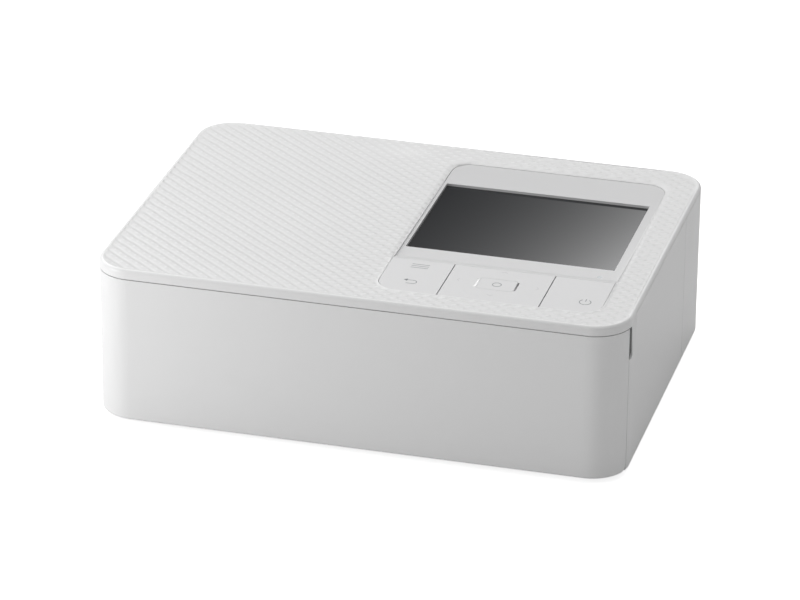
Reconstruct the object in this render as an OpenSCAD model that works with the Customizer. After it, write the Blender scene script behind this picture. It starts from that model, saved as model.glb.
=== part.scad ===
// Compact dye-sublimation photo printer, free standing, front towards -Y.
// Origin: centre of the footprint, on the table. +X right, +Y back, +Z up. Millimetres.

/* [Case] */
// Width of the case, left to right
case_w = 182.2; // [181:0.2:200]
// Depth of the case, front to back
case_d = 133; // [132:0.5:150]
// Height of the case, feet included
case_h = 57.6; // [57.2:0.1:66]
// Radius of the four upright corners
corner_r = 12.9; // [10:0.1:14]
// Rounding of the top cover's upper edge
edge_r = 1.2; // [0.4:0.1:1.6]
// Thickness of the outer walls
wall = 2; // [1.6:0.1:2.2]
// Height of the rubber feet under the case
foot_h = 2.3; // [1.8:0.1:3]
// Radius of each rubber foot
foot_r = 6; // [4:0.5:7]
// Height of the band that the top cover turns down over the walls
band_h = 3.3; // [2.9:0.1:4]
// Thickness of the top cover's plate
top_t = 2.2; // [1.8:0.1:2.4]
// Thickness of the base plate
base_t = 2.2; // [1.8:0.1:2.6]
// Radius of the posts that the case screws run up
post_r = 3; // [2.4:0.1:3.6]
// Radius of the case screws' shank
screw_r = 1.2; // [0.9:0.1:1.4]

/* [Covers] */
// Seam left round the moving covers
seam = 0.3; // [0.2:0.05:0.4]
// Depth that the front cover wraps round each side
cover_wrap = 9.4; // [8.6:0.1:10.4]
// Height of the covers' hinge axes above the table
hinge_h = 6.4; // [6.2:0.1:7]
// Distance of the hinge axes in from the outer faces
hinge_in = 4.8; // [4.6:0.1:5]
// Radius of the covers' hinge pins
hinge_pin_r = 1; // [0.8:0.1:1.2]
// Radial clearance of every pin and shaft in its bore
running = 0.05; // [0.03:0.01:0.08]
// Length of the ink cover along the right side
ink_cover_l = 86.8; // [84:0.1:90]
// Depth of the soft scoop behind the finger notch
scoop_depth = 0.6; // [0.3:0.1:1]
// Width of the finger notch, from the front cover's edge back
notch_w = 3.9; // [3:0.1:4.6]
// Height of the finger scoop
scoop_h = 15; // [10:0.5:18]

/* [Control panel] */
// Width of the control panel
panel_w = 76; // [75:0.5:80]
// Depth of the control panel, front to back
panel_d = 109.8; // [108:0.2:114]
// Distance of the panel from the right face
panel_right = 11.1; // [8:0.1:13]
// Distance of the panel from the front face
panel_front = 10.2; // [8:0.1:12]
// Corner radius of the panel
panel_r = 7; // [4:0.5:9]
// Depth of the display bezel below the keys' level
recess = 0.8; // [0.4:0.1:1]
// Width of the display window
lcd_w = 71.9; // [68:0.1:72.3]
// Depth of the display window, front to back
lcd_d = 55.1; // [50:0.1:57]
// Width of the bezel left of the display window
lcd_left = 1.2; // [1.1:0.1:2.4]
// Distance of the window's front edge behind the panel's front edge
lcd_front = 36.4; // [35.5:0.1:40]
// Depth of the glass below the bezel
glass_drop = 0.9; // [0.6:0.1:1.1]
// Thickness of the display window
glass_t = 1; // [0.8:0.1:1.2]
// Thickness of the display module
lcd_t = 3.2; // [2.6:0.1:3.4]
// Length of the flexing keys, from their root to the panel's front edge
key_l = 25.1; // [22:0.1:26]
// Width of the middle key
nav_w = 34.4; // [30:0.2:38]
// Width of the slits between the keys
slit = 0.4; // [0.2:0.05:0.6]
// Thickness of the keys
key_t = 1.2; // [1:0.1:1.4]
// Width of the round-ended centre key
ok_w = 12.6; // [10:0.1:14]
// Depth of the centre key
ok_d = 8.2; // [6:0.1:9]

/* [Paper path] */
// Width of the paper
paper_w = 100; // [96:1:101]
// Height of the paper path above the table
path_h = 26.5; // [26:0.1:27.1]
// Clearance from the paper's edge to the side of the front slot
slot_room = 6; // [3:0.1:6.5]
// Height of that slot
slot_h = 18.9; // [16:0.1:19.2]
// Height of the rear slot that the sheet runs out of
rear_slot_h = 7.2; // [6:0.1:7.6]
// Radius of the platen roller
platen_r = 7; // [6:0.1:7.4]
// Radius of the capstan and pinch rollers
capstan_r = 4; // [3.5:0.1:4.2]
// Radius of the pick-up roller's rubber
pickup_r = 5; // [4:0.1:5.4]
// Radius of the roller shafts
shaft_r = 2; // [1.6:0.1:2.4]
// Gap between rollers for one sheet of paper
sheet_gap = 0.3; // [0.2:0.05:0.4]

/* [Ink cassette] */
// Outer radius of the two ribbon barrels
barrel_r = 10.5; // [9.6:0.1:10.7]
// Distance between the barrels' axes
barrel_gap = 50; // [48:0.2:51]
// Wall of the barrels
barrel_t = 1; // [0.8:0.1:1.2]
// Gap between the cassette's inner end and the left side plate
cassette_gap = 1.8; // [1:0.1:3]
// Radius of the ribbon wound on each spool
ribbon_r = 7.4; // [6:0.1:7.6]

/* [Chassis] */
// Clearance from the paper's edge to each side plate
plate_room = 12; // [10:0.1:12.2]
// Thickness of the side plates
plate_t = 1.2; // [1:0.1:1.4]
// Distance of the right side plate in from the case's right face
plate_in = 13.1; // [13:0.1:14]

/* [Gears] */
// Tooth module
gear_m = 0.8; // [0.76:0.01:0.82]
// Pressure angle of the teeth
pressure_a = 25; // [24:0.5:27]
// Play between meshing teeth
backlash = 0.14; // [0.1:0.02:0.2]
// Width of each gear
gear_t = 2.4; // [1.8:0.1:2.6]
// Teeth of the large gears
large_z = 36; // [34:2:36]
// Teeth of the motor pinion
pinion_z = 12; // [11:1:13]
// Teeth of the reduction gear's small wheel
small_z = 14; // [13:1:15]
// Teeth of the ribbon drive gear
ribbon_z = 24; // [22:1:26]
// Radius of the motor
motor_r = 12; // [10:0.5:12.5]
// Room between the motor and the left wall
motor_room = 9.7; // [8:0.1:14]
// Side of the square fan
fan_w = 30; // [25:1:31]
// Thickness of the fan
fan_t = 8; // [6:0.5:9]

/* [Hidden] */

// ---- Places worked out from the driving dimensions
right_x = case_w / 2;
back_y = case_d / 2;
front_y = -back_y;
inner_x = right_x - wall;
inner_back_y = back_y - wall;
seam_z = case_h - band_h;
top_z = case_h - top_t;
base_top = foot_h + base_t;
cover_top = seam_z - seam;
cover_end_y = front_y + cover_wrap;
hinge_y = front_y + hinge_in;
hinge_x = right_x - hinge_in;
base_front_y = hinge_y + 4.5;
base_right_x = hinge_x - 4.5;
ink_front_y = cover_end_y + seam;
ink_back_y = ink_front_y + ink_cover_l;

panel_x = right_x - panel_right - panel_w / 2;
panel_y0 = front_y + panel_front;
panel_y1 = panel_y0 + panel_d;
panel_gap = 0.12;
key_z = case_h - 0.1;
bezel_z = key_z - recess;
flange_t = 1.4;
flange_over = 3;
glass_z = bezel_z - glass_drop;
glass_ledge = 0.6;
lcd_x = panel_x - panel_w / 2 + lcd_left + lcd_w / 2;
lcd_y = panel_y0 + lcd_front + lcd_d / 2;
key_root_y = panel_y0 + key_l;
nav_x = panel_x + 0.6;
ok_y = panel_y0 + 13.2;
nub_r = 1.6;
nub_gap = 0.32;
ok_gap = 0.45;
mat_z = top_z - flange_t;
board_t = 1.2;
mat_t = 0.8;
lamp_x = panel_x + 31.5;
lamp_y = key_root_y + 5;

plate_span = paper_w + 2 * plate_room;
right_plate_x = right_x - plate_in;
span_x1 = right_plate_x - plate_t;
span_x0 = span_x1 - plate_span;
left_plate_x = span_x0 - plate_t;
path_x = (span_x0 + span_x1) / 2;
slot_w = paper_w + 2 * slot_room;
slot_x0 = path_x - slot_w / 2;
slot_x1 = path_x + slot_w / 2;
slot_z0 = base_top + 2;
slot_z1 = slot_z0 + slot_h;
guide_t = 1.5;
platen_y = ink_front_y + 44.8;
platen_z = path_h - platen_r;
capstan_y = platen_y + 46;
capstan_z = path_h - capstan_r;
pinch_z = path_h + sheet_gap + capstan_r;
pickup_y = platen_y - 16.5;
pickup_z = path_h - 6.5;
bush_r = shaft_r + 2;
bush_flange_r = bush_r + 0.6;
bush_flange_t = 0.8;

take_up_y = platen_y - barrel_gap / 2;
supply_y = platen_y + barrel_gap / 2;
barrel_z = path_h + 1.5 + barrel_r;
cassette_x1 = right_x - 5.9;
cassette_x0 = span_x0 + cassette_gap;
cassette_l = cassette_x1 - cassette_x0;
end_bar_l = 7.5;
spool_core_r = 4.5;
axle_r = 2.5;
dog_r = 1.7;
grip_t = 0.7;
ribbon_slot = barrel_gap / 2 - 7.5;
bezel_x = base_right_x - 0.1;
plate_top = barrel_z + barrel_r + 1.8;
plate_y0 = take_up_y - 12;
plate_y1 = capstan_y + 18;

layer_gap = 0.2;
outer_layer_x = left_plate_x - 2 * gear_t - 2 * layer_gap;
inner_layer_x = left_plate_x - gear_t - layer_gap;
stud_r = 1.5;

flap_y = base_front_y + 2.9;
flap_t = 1.4;
flap_z = slot_z1 - 1.4;

screw_places = [[-right_x + 9.1, back_y - 9.5], [right_x - 9.1, back_y - 10],
                [-right_x + 9.1, front_y + 18.5]];
foot_places = [for (sx = [-1, 1], sy = [-1, 1]) [sx * (right_x - 22), sy * (back_y - 20)]];

// ---- Gear centres [y, z]: each mesh sets the distance, the side plates the direction
function reach(z1, z2) = gear_m * (z1 + z2) / 2;
capstan_c = [capstan_y, capstan_z];
reduction_c = capstan_c + reach(large_z, small_z) * [0.6, 0.8];
pinion_c = reduction_c - reach(large_z, pinion_z) * [1, 0];
rear_idler_c = pinion_c - reach(large_z, pinion_z) * [1, 0];
ribbon_c = [take_up_y, barrel_z];
idler_reach = reach(large_z, large_z);
ribbon_reach = reach(large_z, ribbon_z);
idler_span = norm(rear_idler_c - ribbon_c);
idler_lift = atan2(ribbon_c[1] - rear_idler_c[1], ribbon_c[0] - rear_idler_c[0]);
idler_cos = (pow(idler_reach, 2) + pow(idler_span, 2) - pow(ribbon_reach, 2)) / (2 * idler_reach * idler_span);
idler_a = idler_lift + acos(idler_cos);
front_idler_c = rear_idler_c + idler_reach * [cos(idler_a), sin(idler_a)];

// ---- Gear tooth geometry
function involute(a) = tan(a) * 180 / PI - a;
function tooth_half(r, z) =
  let (rp = gear_m * z / 2, rb = rp * cos(pressure_a))
  90 / z - backlash / 4 / rp * 180 / PI + involute(pressure_a) - involute(acos(rb / max(r, rb)));
function gear_points(z) =
  let (rp = gear_m * z / 2,
       radii = [rp - 1.2 * gear_m, max(rp * cos(pressure_a), rp - 0.6 * gear_m), rp, rp + 0.45 * gear_m,
                rp + 0.9 * gear_m])
  [for (k = [0:z - 1])
    let (mid = 360 * k / z)
    each concat([for (r = radii) r * [cos(mid - tooth_half(r, z)), sin(mid - tooth_half(r, z))]],
                [for (i = [4:-1:0]) let (r = radii[i])
                  r * [cos(mid + tooth_half(r, z)), sin(mid + tooth_half(r, z))]])];
// Turn of gear 2 that meshes with gear 1, for the direction from 1 to 2
function mesh_turn(turn1, z1, z2, a) =
  a + 180 - (0.5 - (a - turn1) * z1 / 360) * 360 / z2;
function bearing(p, q) = atan2(q[1] - p[1], q[0] - p[0]);
capstan_turn = 0;
small_turn = mesh_turn(capstan_turn, large_z, small_z, bearing(capstan_c, reduction_c));
pinion_turn = mesh_turn(small_turn, large_z, pinion_z, bearing(reduction_c, pinion_c));
rear_idler_turn = mesh_turn(pinion_turn, pinion_z, large_z, bearing(pinion_c, rear_idler_c));
front_idler_turn = mesh_turn(rear_idler_turn, large_z, large_z, bearing(rear_idler_c, front_idler_c));
ribbon_turn = mesh_turn(front_idler_turn, large_z, ribbon_z, bearing(front_idler_c, ribbon_c));

// ---- Shape helpers
// Depth that forms of one piece run into each other
join = 0.2;
module box(lo, hi) {
  translate(lo) cube(hi - lo);
}
module rounded(w, d, r) {
  square([w - 2 * r, d], center = true);
  square([w, d - 2 * r], center = true);
  for (sx = [-1, 1], sy = [-1, 1])
    translate([sx * (w / 2 - r), sy * (d / 2 - r)]) circle(r, $fn = 96);
}
// Sweeps an upright section round the case; its x runs out from the corner's centre
module around(w, d, r) {
  for (q = [0:3])
    let (sx = (q == 0 || q == 3) ? 1 : -1, sy = q < 2 ? 1 : -1)
    translate([sx * (w / 2 - r), sy * (d / 2 - r), 0]) rotate([0, 0, 90 * q])
      rotate_extrude(angle = 90, $fn = 96) children();
  for (s = [0, 180]) rotate([0, 0, s]) {
    translate([w / 2 - r, d / 2 - r, 0]) rotate([90, 0, 0]) linear_extrude(d - 2 * r) children();
    translate([-(w / 2 - r), d / 2 - r, 0]) rotate([90, 0, 90]) linear_extrude(w - 2 * r) children();
  }
}
// Extrudes a section drawn in (y, z) along X
module along_x(x0, length, y = 0, z = 0) {
  translate([x0, y, z]) rotate([90, 0, 90]) linear_extrude(length) children();
}
module disc(r) {
  circle(r, $fn = 64);
}
module rod(x0, length, y, z, r) {
  along_x(x0, length, y, z) disc(r);
}
module mirrored(sx) {
  mirror([sx < 0 ? 1 : 0, 0, 0]) children();
}
module at_axis(c) {
  translate([0, c[0], c[1]]) children();
}
module post(x, y, z0, z1, r) {
  translate([x, y, z0]) cylinder(h = z1 - z0, r = r, $fn = 48);
}
module gear(z, turn, x0, t, c) {
  along_x(x0, t, c[0], c[1]) rotate(turn) polygon(gear_points(z));
}
// The outer wall of the case up to a height, before it is parted into covers
module wall_ring(z1) {
  lower_r = 0.8;
  around(case_w, case_d, corner_r) {
    translate([corner_r - wall, foot_h]) square([wall - lower_r, z1 - foot_h]);
    translate([corner_r - wall, foot_h + lower_r]) square([wall, z1 - foot_h - lower_r]);
    translate([corner_r - lower_r, foot_h + lower_r]) circle(lower_r, $fn = 48);
  }
}
module panel_outline(grow) {
  translate([panel_x, (panel_y0 + panel_y1) / 2])
    rounded(panel_w + 2 * grow, panel_d + 2 * grow, panel_r + grow);
}

// ---- Case
module top_cover() {
  lip_t = 1.2;
  lip_in = wall + 0.35;
  lip_h = 3;
  color("whitesmoke") difference() {
    union() {
      around(case_w, case_d, corner_r) {
        translate([0, top_z]) square([corner_r - edge_r, top_t]);
        translate([0, top_z]) square([corner_r, top_t - edge_r]);
        translate([corner_r - edge_r, case_h - edge_r]) circle(edge_r, $fn = 64);
        translate([corner_r - wall, seam_z]) square([wall, band_h - edge_r]);
      }
      box([-right_x + corner_r - join, -back_y + corner_r - join, top_z],
          [right_x - corner_r + join, back_y - corner_r + join, case_h]);
      // Locating lip inside the walls; it stops short of the ink cover
      for (y = [front_y + lip_in, back_y - lip_in - lip_t])
        box([-right_x + corner_r, y, top_z - lip_h], [right_x - corner_r - 2, y + lip_t, top_z + join]);
      box([-right_x + lip_in, front_y + corner_r, top_z - lip_h],
          [-right_x + lip_in + lip_t, back_y - corner_r, top_z + join]);
      for (p = screw_places) post(p[0], p[1], base_top + 12, top_z + join, post_r);
      // Ribs that rest on the front frame
      for (x = [-60, -20]) box([x, base_front_y - 1, seam_z - 0.4], [x + 2, base_front_y + 6, top_z + join]);
    }
    translate([0, 0, top_z - 1]) linear_extrude(top_t + 2) panel_outline(0);
    for (p = screw_places) post(p[0], p[1], base_top + 11, base_top + 26, screw_r);
    // Rebate that hides the right wall's upper edge under the lip
    box([inner_x - seam, notch_y - seam, seam_z - 1], [right_x + 1, back_y - corner_r, side_top + 0.25]);
  }
}

module side_case() {
  paper_z = path_h - 3.3;
  color("white") {
    difference() {
      wall_ring(seam_z);
      // Front and ink covers' places
      box([-right_x - 1, front_y - 1, 0], [right_x + 1, ink_front_y, case_h]);
      box([right_x - corner_r, front_y, 0], [right_x + 1, ink_back_y + seam, case_h]);
      // Rear paper slot
      box([slot_x0 - 2, inner_back_y - 1, paper_z], [slot_x1 + 2, back_y + 1, paper_z + rear_slot_h]);
      // Rear vents, by the motor
      for (i = [0:5])
        box([-right_x + 14, inner_back_y - 1, 32 + 3.2 * i], [-right_x + 38, back_y + 1, 33.8 + 3.2 * i]);
      // Inlet for the power lead, and the lock slot
      translate([dc_x, back_y + 1, dc_z]) rotate([90, 0, 0]) cylinder(h = wall + 2, r = dc_r + 0.4, $fn = 64);
      box([-right_x + 11.5, inner_back_y - 1, 10.5], [-right_x + 14.5, back_y + 1, 17.5]);
      // Fan vents
      for (i = [0:7])
        box([-right_x - 1, fan_y + 3.3 * i - 12.6, fan_z - 12],
            [-inner_x + 1, fan_y + 3.3 * i - 10.8, fan_z + 12]);
      // Memory card slot and data port
      box([-right_x - 1, card_y - card_w / 2 - 0.3, card_z - 1.7],
          [-inner_x + 1, card_y + card_w / 2 + 0.3, card_z + 1.7]);
      translate([-right_x - 1, usb_y, usb_z]) rotate([90, 0, 90]) linear_extrude(wall + 2) rounded(9.8, 4, 1.9);
    }
    // Behind the ink cover the wall runs up under the lip, as the cover does
    box([inner_x, ink_back_y + seam, seam_z - join], [right_x, back_y - corner_r - seam, side_top]);
    // Upright ribs that the rear guide and the front frame butt against
    for (x = [span_x0 - 4, span_x1 + 3])
      box([x, inner_back_y - 1.5, base_top + 1], [x + 1, inner_back_y + 0.2, top_z - 4]);
  }
}

module bottom_case() {
  color("gainsboro") difference() {
    union() {
      difference() {
        translate([0, 0, foot_h]) linear_extrude(base_t)
          rounded(2 * inner_x, 2 * inner_back_y, corner_r - wall);
        // Room in front and at the right for the covers to swing
        box([-right_x, front_y, 0], [right_x, base_front_y, case_h]);
        box([base_right_x, front_y, 0], [right_x, ink_back_y + seam, case_h]);
        box([-right_x, front_y, 0], [-right_x + 5.6, cover_end_y + seam, case_h]);
      }
      for (p = screw_places) post(p[0], p[1], foot_h, base_top + 12, post_r);
      for (sx = [-1, 1]) front_hinge(sx) hinge_ear();
      for (y = ink_hinge_places) ink_hinge(y) hinge_ear();
      // Stiffening ribs across the base
      for (y = [platen_y - 24, platen_y + 8, platen_y + 42])
        box([slot_x0, y, base_top - 0.2], [slot_x1 - 4, y + 1.5, base_top + 1.2]);
      for (p = board_posts) post(p[0], p[1], base_top - 0.2, board_z, 2.2);
    }
    for (p = screw_places) {
      post(p[0], p[1], foot_h - 1, base_top + 13, screw_r + running);
      post(p[0], p[1], foot_h - 1, base_top + 3, screw_r + 1.3);
    }
    for (p = foot_places) post(p[0], p[1], foot_h - 1, foot_h + 0.8, foot_r + 0.15);
    // Air slots under the board
    for (i = [0:6])
      box([-right_x + 12, -24 + 5 * i, foot_h - 1], [-right_x + 30, -22 + 5 * i, base_top + 1]);
  }
}

notch_z = seam_z - 11.6;
notch_y = cover_end_y + notch_w;
side_top = case_h - edge_r - 0.35;
// ---- Hinges of the two covers. Local frame: pin along X, outer face towards -Y
hinge_face = hinge_in - wall;
hinge_boss_r = 2.4;
arm_w = 4;
ear_w = 3.5;
pin_l = ear_w - 0.4;
ink_hinge_places = [ink_front_y + 12.1, ink_back_y - 12];
module front_hinge(sx) {
  translate([sx * (right_x - 22), hinge_y, hinge_h]) mirrored(sx) children();
}
module ink_hinge(y) {
  translate([hinge_x, y, hinge_h]) rotate([0, 0, 90]) children();
}
module hinge_arm() {
  box([0, -hinge_face - 0.3, -hinge_boss_r], [arm_w, 0, hinge_boss_r]);
  rod(0, arm_w, 0, 0, hinge_boss_r);
  rod(arm_w - 0.5, pin_l + 0.5, 0, 0, hinge_pin_r);
}
module hinge_ear() {
  difference() {
    union() {
      rod(arm_w + 0.3, ear_w, 0, 0, hinge_boss_r);
      box([arm_w + 0.3, 0, -1.9], [arm_w + 0.3 + ear_w, 6, hinge_boss_r]);
      box([arm_w + 0.3, 4.5, foot_h - hinge_h], [arm_w + 0.3 + ear_w, 6, 0]);
    }
    rod(arm_w, ear_w + 1, 0, 0, hinge_pin_r + running);
  }
}

// Room left round an ear in the frames that stand behind it
module ear_room() {
  box([arm_w, 3, foot_h - hinge_h], [arm_w + ear_w + 0.6, 8, hinge_boss_r + 0.3]);
}

module front_cover() {
  swing_r = norm([hinge_in, cover_top - hinge_h]);
  color("white") {
    difference() {
      intersection() {
        wall_ring(cover_top);
        box([-right_x - 1, front_y - 1, 0], [right_x + 1, cover_end_y, case_h]);
        // The wraps' upper ends follow the swing, so that they clear the top cover
        rod(-right_x - 1, case_w + 2, hinge_y, hinge_h, swing_r);
      }
      // Lower rear corners of the wraps, rounded for the swing
      difference() {
        box([-right_x - 1, hinge_y, 0], [right_x + 1, cover_end_y + 1, hinge_h - 1]);
        rod(-right_x - 2, case_w + 4, hinge_y, hinge_h, cover_end_y - hinge_y + seam / 2);
      }
    }
    for (sx = [-1, 1]) front_hinge(sx) hinge_arm();
    // Stiffening ribs on the inside
    rib_x = right_x - 31;
    rib_z1 = cover_top - 8;
    for (z = [14, rib_z1]) box([-rib_x, front_y + wall - join, z], [rib_x, front_y + wall + 1, z + 1]);
    for (x = [-rib_x, -20, 20, rib_x - 1])
      box([x, front_y + wall - join, 14.5], [x + 1, front_y + wall + 1, rib_z1 + 0.5]);
  }
}

module ink_cover() {
  scoop_half = 5;
  scoop_r = (pow(scoop_half, 2) + pow(scoop_depth, 2)) / (2 * scoop_depth);
  color("white") {
    difference() {
      intersection() {
        wall_ring(side_top);
        box([right_x - corner_r, ink_front_y, 0], [right_x + 1, ink_back_y, case_h]);
      }
      // Finger notch in the upper front corner, and the soft scoop behind it
      along_x(0, right_x + 1)
        polygon([[ink_front_y - 1, notch_z], [notch_y - 1.2, notch_z], [notch_y - 0.35, notch_z + 0.35],
                 [notch_y, notch_z + 1.2], [notch_y, case_h], [ink_front_y - 1, case_h]]);
      translate([right_x + scoop_r, notch_y - 0.5, seam_z - scoop_h])
        rotate([0, -atan(scoop_depth / scoop_h), 0]) translate([0, 0, -6])
          cylinder(h = scoop_h + 12, r = scoop_r, $fn = 128);
    }
    for (y = ink_hinge_places) ink_hinge(y) hinge_arm();
    // Stiffening ribs on the inside
    for (z = [13, seam_z - 5.3]) box([inner_x - 0.7, ink_front_y + 8, z], [inner_x + join, ink_back_y - 4, z + 1]);
  }
}

module rubber_feet() {
  color("dimgray") for (p = foot_places) post(p[0], p[1], 0, foot_h + 0.8, foot_r);
}

module case_screws() {
  color("silver") for (p = screw_places) {
    post(p[0], p[1], base_top + 1.2, base_top + 3, screw_r + 1.1);
    post(p[0], p[1], base_top + 2, base_top + 20, screw_r);
  }
}

// ---- Control panel
module control_panel() {
  color("white") difference() {
    union() {
      intersection() {
        translate([0, 0, mat_z]) linear_extrude(10) panel_outline(-panel_gap);
        along_x(0, right_x)
          polygon([[panel_y1, mat_z], [panel_y1, bezel_z], [key_root_y + 3.6, bezel_z],
                   [key_root_y + 0.2, key_z], [key_root_y, key_z], [key_root_y, mat_z]]);
      }
      difference() {
        translate([0, 0, mat_z]) linear_extrude(flange_t) panel_outline(flange_over);
        // Windows that the keys' actuators pass through
        for (p = concat(nub_places, [[nav_x, ok_y]])) post(p[0], p[1], mat_z - 1, top_z + 1, nub_r + 0.5);
      }
      for (p = board_screws) post(p[0], p[1], mat_z - mat_t, mat_z + 0.2, 1.6);
    }
    translate([lcd_x, lcd_y, mat_z - 1]) linear_extrude(10) square([lcd_w, lcd_d], center = true);
    translate([lcd_x, lcd_y, mat_z - 1]) linear_extrude(glass_z - mat_z + 1)
      square([lcd_w + 2 * glass_ledge + 0.2, lcd_d + 2 * glass_ledge + 0.2], center = true);
    post(lamp_x, lamp_y, mat_z - 1, case_h, lamp_r + 0.02);
  }
}
lamp_r = 0.9;
module status_lamp() {
  color("lightcyan") {
    post(lamp_x, lamp_y, mat_z, bezel_z, lamp_r);
    post(lamp_x, lamp_y, mat_z - mat_t, mat_z, lamp_r + 0.8);
  }
}

module lcd_window() {
  color("black") translate([lcd_x, lcd_y, glass_z - glass_t]) linear_extrude(glass_t)
    square([lcd_w + 2 * glass_ledge, lcd_d + 2 * glass_ledge], center = true);
}

module lcd_module() {
  color("dimgray") translate([lcd_x, lcd_y, glass_z - glass_t - lcd_t]) linear_extrude(lcd_t)
    square([lcd_w + 2 * glass_ledge, lcd_d + 2 * glass_ledge], center = true);
}

slit1_x = nav_x - nav_w / 2;
slit2_x = nav_x + nav_w / 2;
back_nub = [slit1_x - 10.7, panel_y0 + 8];
menu_nub = [slit1_x - 10.7, panel_y0 + 18];
power_nub = [slit2_x + 13, panel_y0 + 9];
arrow_nubs = [[nav_x - 13, ok_y], [nav_x + 13, ok_y], [nav_x, ok_y + 9.5], [nav_x, ok_y - 9]];
nub_places = concat([back_nub, menu_nub, power_nub], arrow_nubs);
// One flexing key between two upright planes, with its actuators below
module flexing_key(x0, x1, nubs) {
  translate([0, 0, key_z - key_t]) linear_extrude(key_t) intersection() {
    panel_outline(-panel_gap - 0.05);
    translate([x0, panel_y0 - 1]) square([x1 - x0, key_l + 1 - panel_gap]);
  }
  for (p = nubs) post(p[0], p[1], mat_z + nub_gap, key_z - key_t + 0.2, nub_r);
}
module menu_back_key() {
  color("white") flexing_key(panel_x - panel_w, slit1_x - slit / 2, [back_nub, menu_nub]);
}
module power_key() {
  color("white") flexing_key(slit2_x + slit / 2, panel_x + panel_w, [power_nub]);
}
module navigation_key() {
  color("white") difference() {
    flexing_key(slit1_x + slit / 2, slit2_x - slit / 2, arrow_nubs);
    translate([nav_x, ok_y, key_z - key_t - 1]) linear_extrude(key_t + 2) {
      rounded(ok_w + 2 * panel_gap, ok_d + 2 * panel_gap, 1.2);
      square([ok_w + 1.4, ok_d - 1.6], center = true);
    }
  }
}
module ok_key() {
  rim_t = 0.35;
  rim_z = key_z - key_t - 0.1 - rim_t;
  color("white") {
    translate([nav_x, ok_y, rim_z]) linear_extrude(key_z - rim_z) rounded(ok_w, ok_d, 1.1);
    translate([nav_x, ok_y, rim_z]) linear_extrude(rim_t) rounded(ok_w + 3, ok_d + 2, 1.6);
    post(nav_x, ok_y, mat_z + ok_gap, rim_z + 0.2, nub_r);
  }
}
board_screws = [for (x = [panel_x - 35, panel_x + 35], y = [panel_y0 + 4.5, key_root_y - 3.5]) [x, y]];
module key_mat() {
  color("lightgray") {
    difference() {
      box([panel_x - 32.5, panel_y0 + 1.8, mat_z - mat_t], [panel_x + 32.5, key_root_y - 1, mat_z - mat_t / 2]);
      post(lamp_x, lamp_y, 0, case_h, lamp_r + 1.2);
    }
    for (p = concat(nub_places, [[nav_x, ok_y]])) post(p[0], p[1], mat_z - mat_t / 2, mat_z, nub_r + 0.3);
  }
}
module key_board() {
  color("darkgreen") difference() {
    box([panel_x - 38, panel_y0 + 1.8, mat_z - mat_t - board_t], [panel_x + 38, lamp_y + 1.5, mat_z - mat_t]);
    for (p = board_screws) post(p[0], p[1], 0, case_h, 0.8);
  }
}

// ---- Front frame with the cassette throat, and the flap in its mouth
module front_frame() {
  top = seam_z - 0.4;
  throat_y1 = base_front_y + 17;
  color("lightgray") difference() {
    union() {
      box([-right_x + 6.2, base_front_y, base_top], [right_x - 6.2, base_front_y + 2, top]);
      for (x = [slot_x0 - guide_t, slot_x1])
        box([x, base_front_y + 1, base_top], [x + guide_t, throat_y1, slot_z1 + 1.6]);
      box([slot_x0 - guide_t, base_front_y + 1, slot_z1 + 0.4],
          [slot_x1 + guide_t, throat_y1 - 3, slot_z1 + 1.6]);
      // Sloping lead-in under the mouth
      along_x(slot_x0, slot_w)
        polygon([[base_front_y + 0.5, base_top], [base_front_y + 0.5, slot_z0 - 0.6],
                 [base_front_y + 2, slot_z0], [base_front_y + 6, slot_z0], [base_front_y + 9, base_top]]);
    }
    box([slot_x0, base_front_y - 1, slot_z0], [slot_x1, base_front_y + 3, slot_z1]);
    for (sx = [-1, 1]) front_hinge(sx) ear_room();
    rod(slot_x0 - guide_t - 1, slot_w + 2 * guide_t + 2, flap_y, flap_z, flap_pin_r + running);
  }
}
flap_pin_r = 0.8;
module slot_flap() {
  color("gray") {
    box([slot_x0 + 0.4, flap_y - flap_t / 2, slot_z0 + 0.4], [slot_x1 - 0.4, flap_y + flap_t / 2, flap_z]);
    rod(slot_x0 + 0.4, slot_w - 0.8, flap_y, flap_z, 1.1);
    rod(slot_x0 - 1.2, slot_w + 2.4, flap_y, flap_z, flap_pin_r);
    for (x = [slot_x0 + 20, slot_x1 - 21])
      box([x, flap_y - flap_t / 2 - 0.6, slot_z0 + 2], [x + 1, flap_y, flap_z - 2]);
  }
}

// ---- Side plates of the chassis
module plate_blank() {
  difference() {
    polygon([[plate_y0, base_top], [plate_y0, plate_top], [plate_y1 - 8, plate_top],
             [plate_y1, plate_top - 8], [plate_y1, base_top]]);
    translate([platen_y, platen_z]) disc(bush_r);
    translate([capstan_y, capstan_z]) disc(bush_r);
    translate([capstan_y, pinch_z]) disc(shaft_r + running);
    translate([pickup_y, pickup_z]) disc(1.5 + running);
    // Slot that the thermal head's guide pins rise in
    translate([platen_y, head_pin_z]) disc(head_pin_r + running);
    translate([platen_y, head_pin_z + head_lift]) disc(head_pin_r + running);
    translate([platen_y - head_pin_r - running, head_pin_z]) square([2 * (head_pin_r + running), head_lift]);
  }
}
module plate_feet(x0) {
  for (y = [platen_y - 12, platen_y + 26]) difference() {
    box([x0, y, base_top], [x0 + 8, y + 9, base_top + plate_t]);
    post(x0 + 4.5, y + 4.5, 0, base_top + 5, screw_r + 0.2);
  }
}
module left_side_plate() {
  color("silver") {
    along_x(left_plate_x, plate_t) difference() {
      plate_blank();
      translate(ribbon_c) disc(hub_r + running);
      for (c = stud_places) translate(c) disc(stud_r);
    }
    plate_feet(span_x0 - 0.2);
  }
}
module right_side_plate() {
  color("silver") {
    along_x(span_x1, plate_t) difference() {
      plate_blank();
      cassette_outline(0.5);
    }
    plate_feet(span_x1 - 7.8);
  }
}
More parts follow.
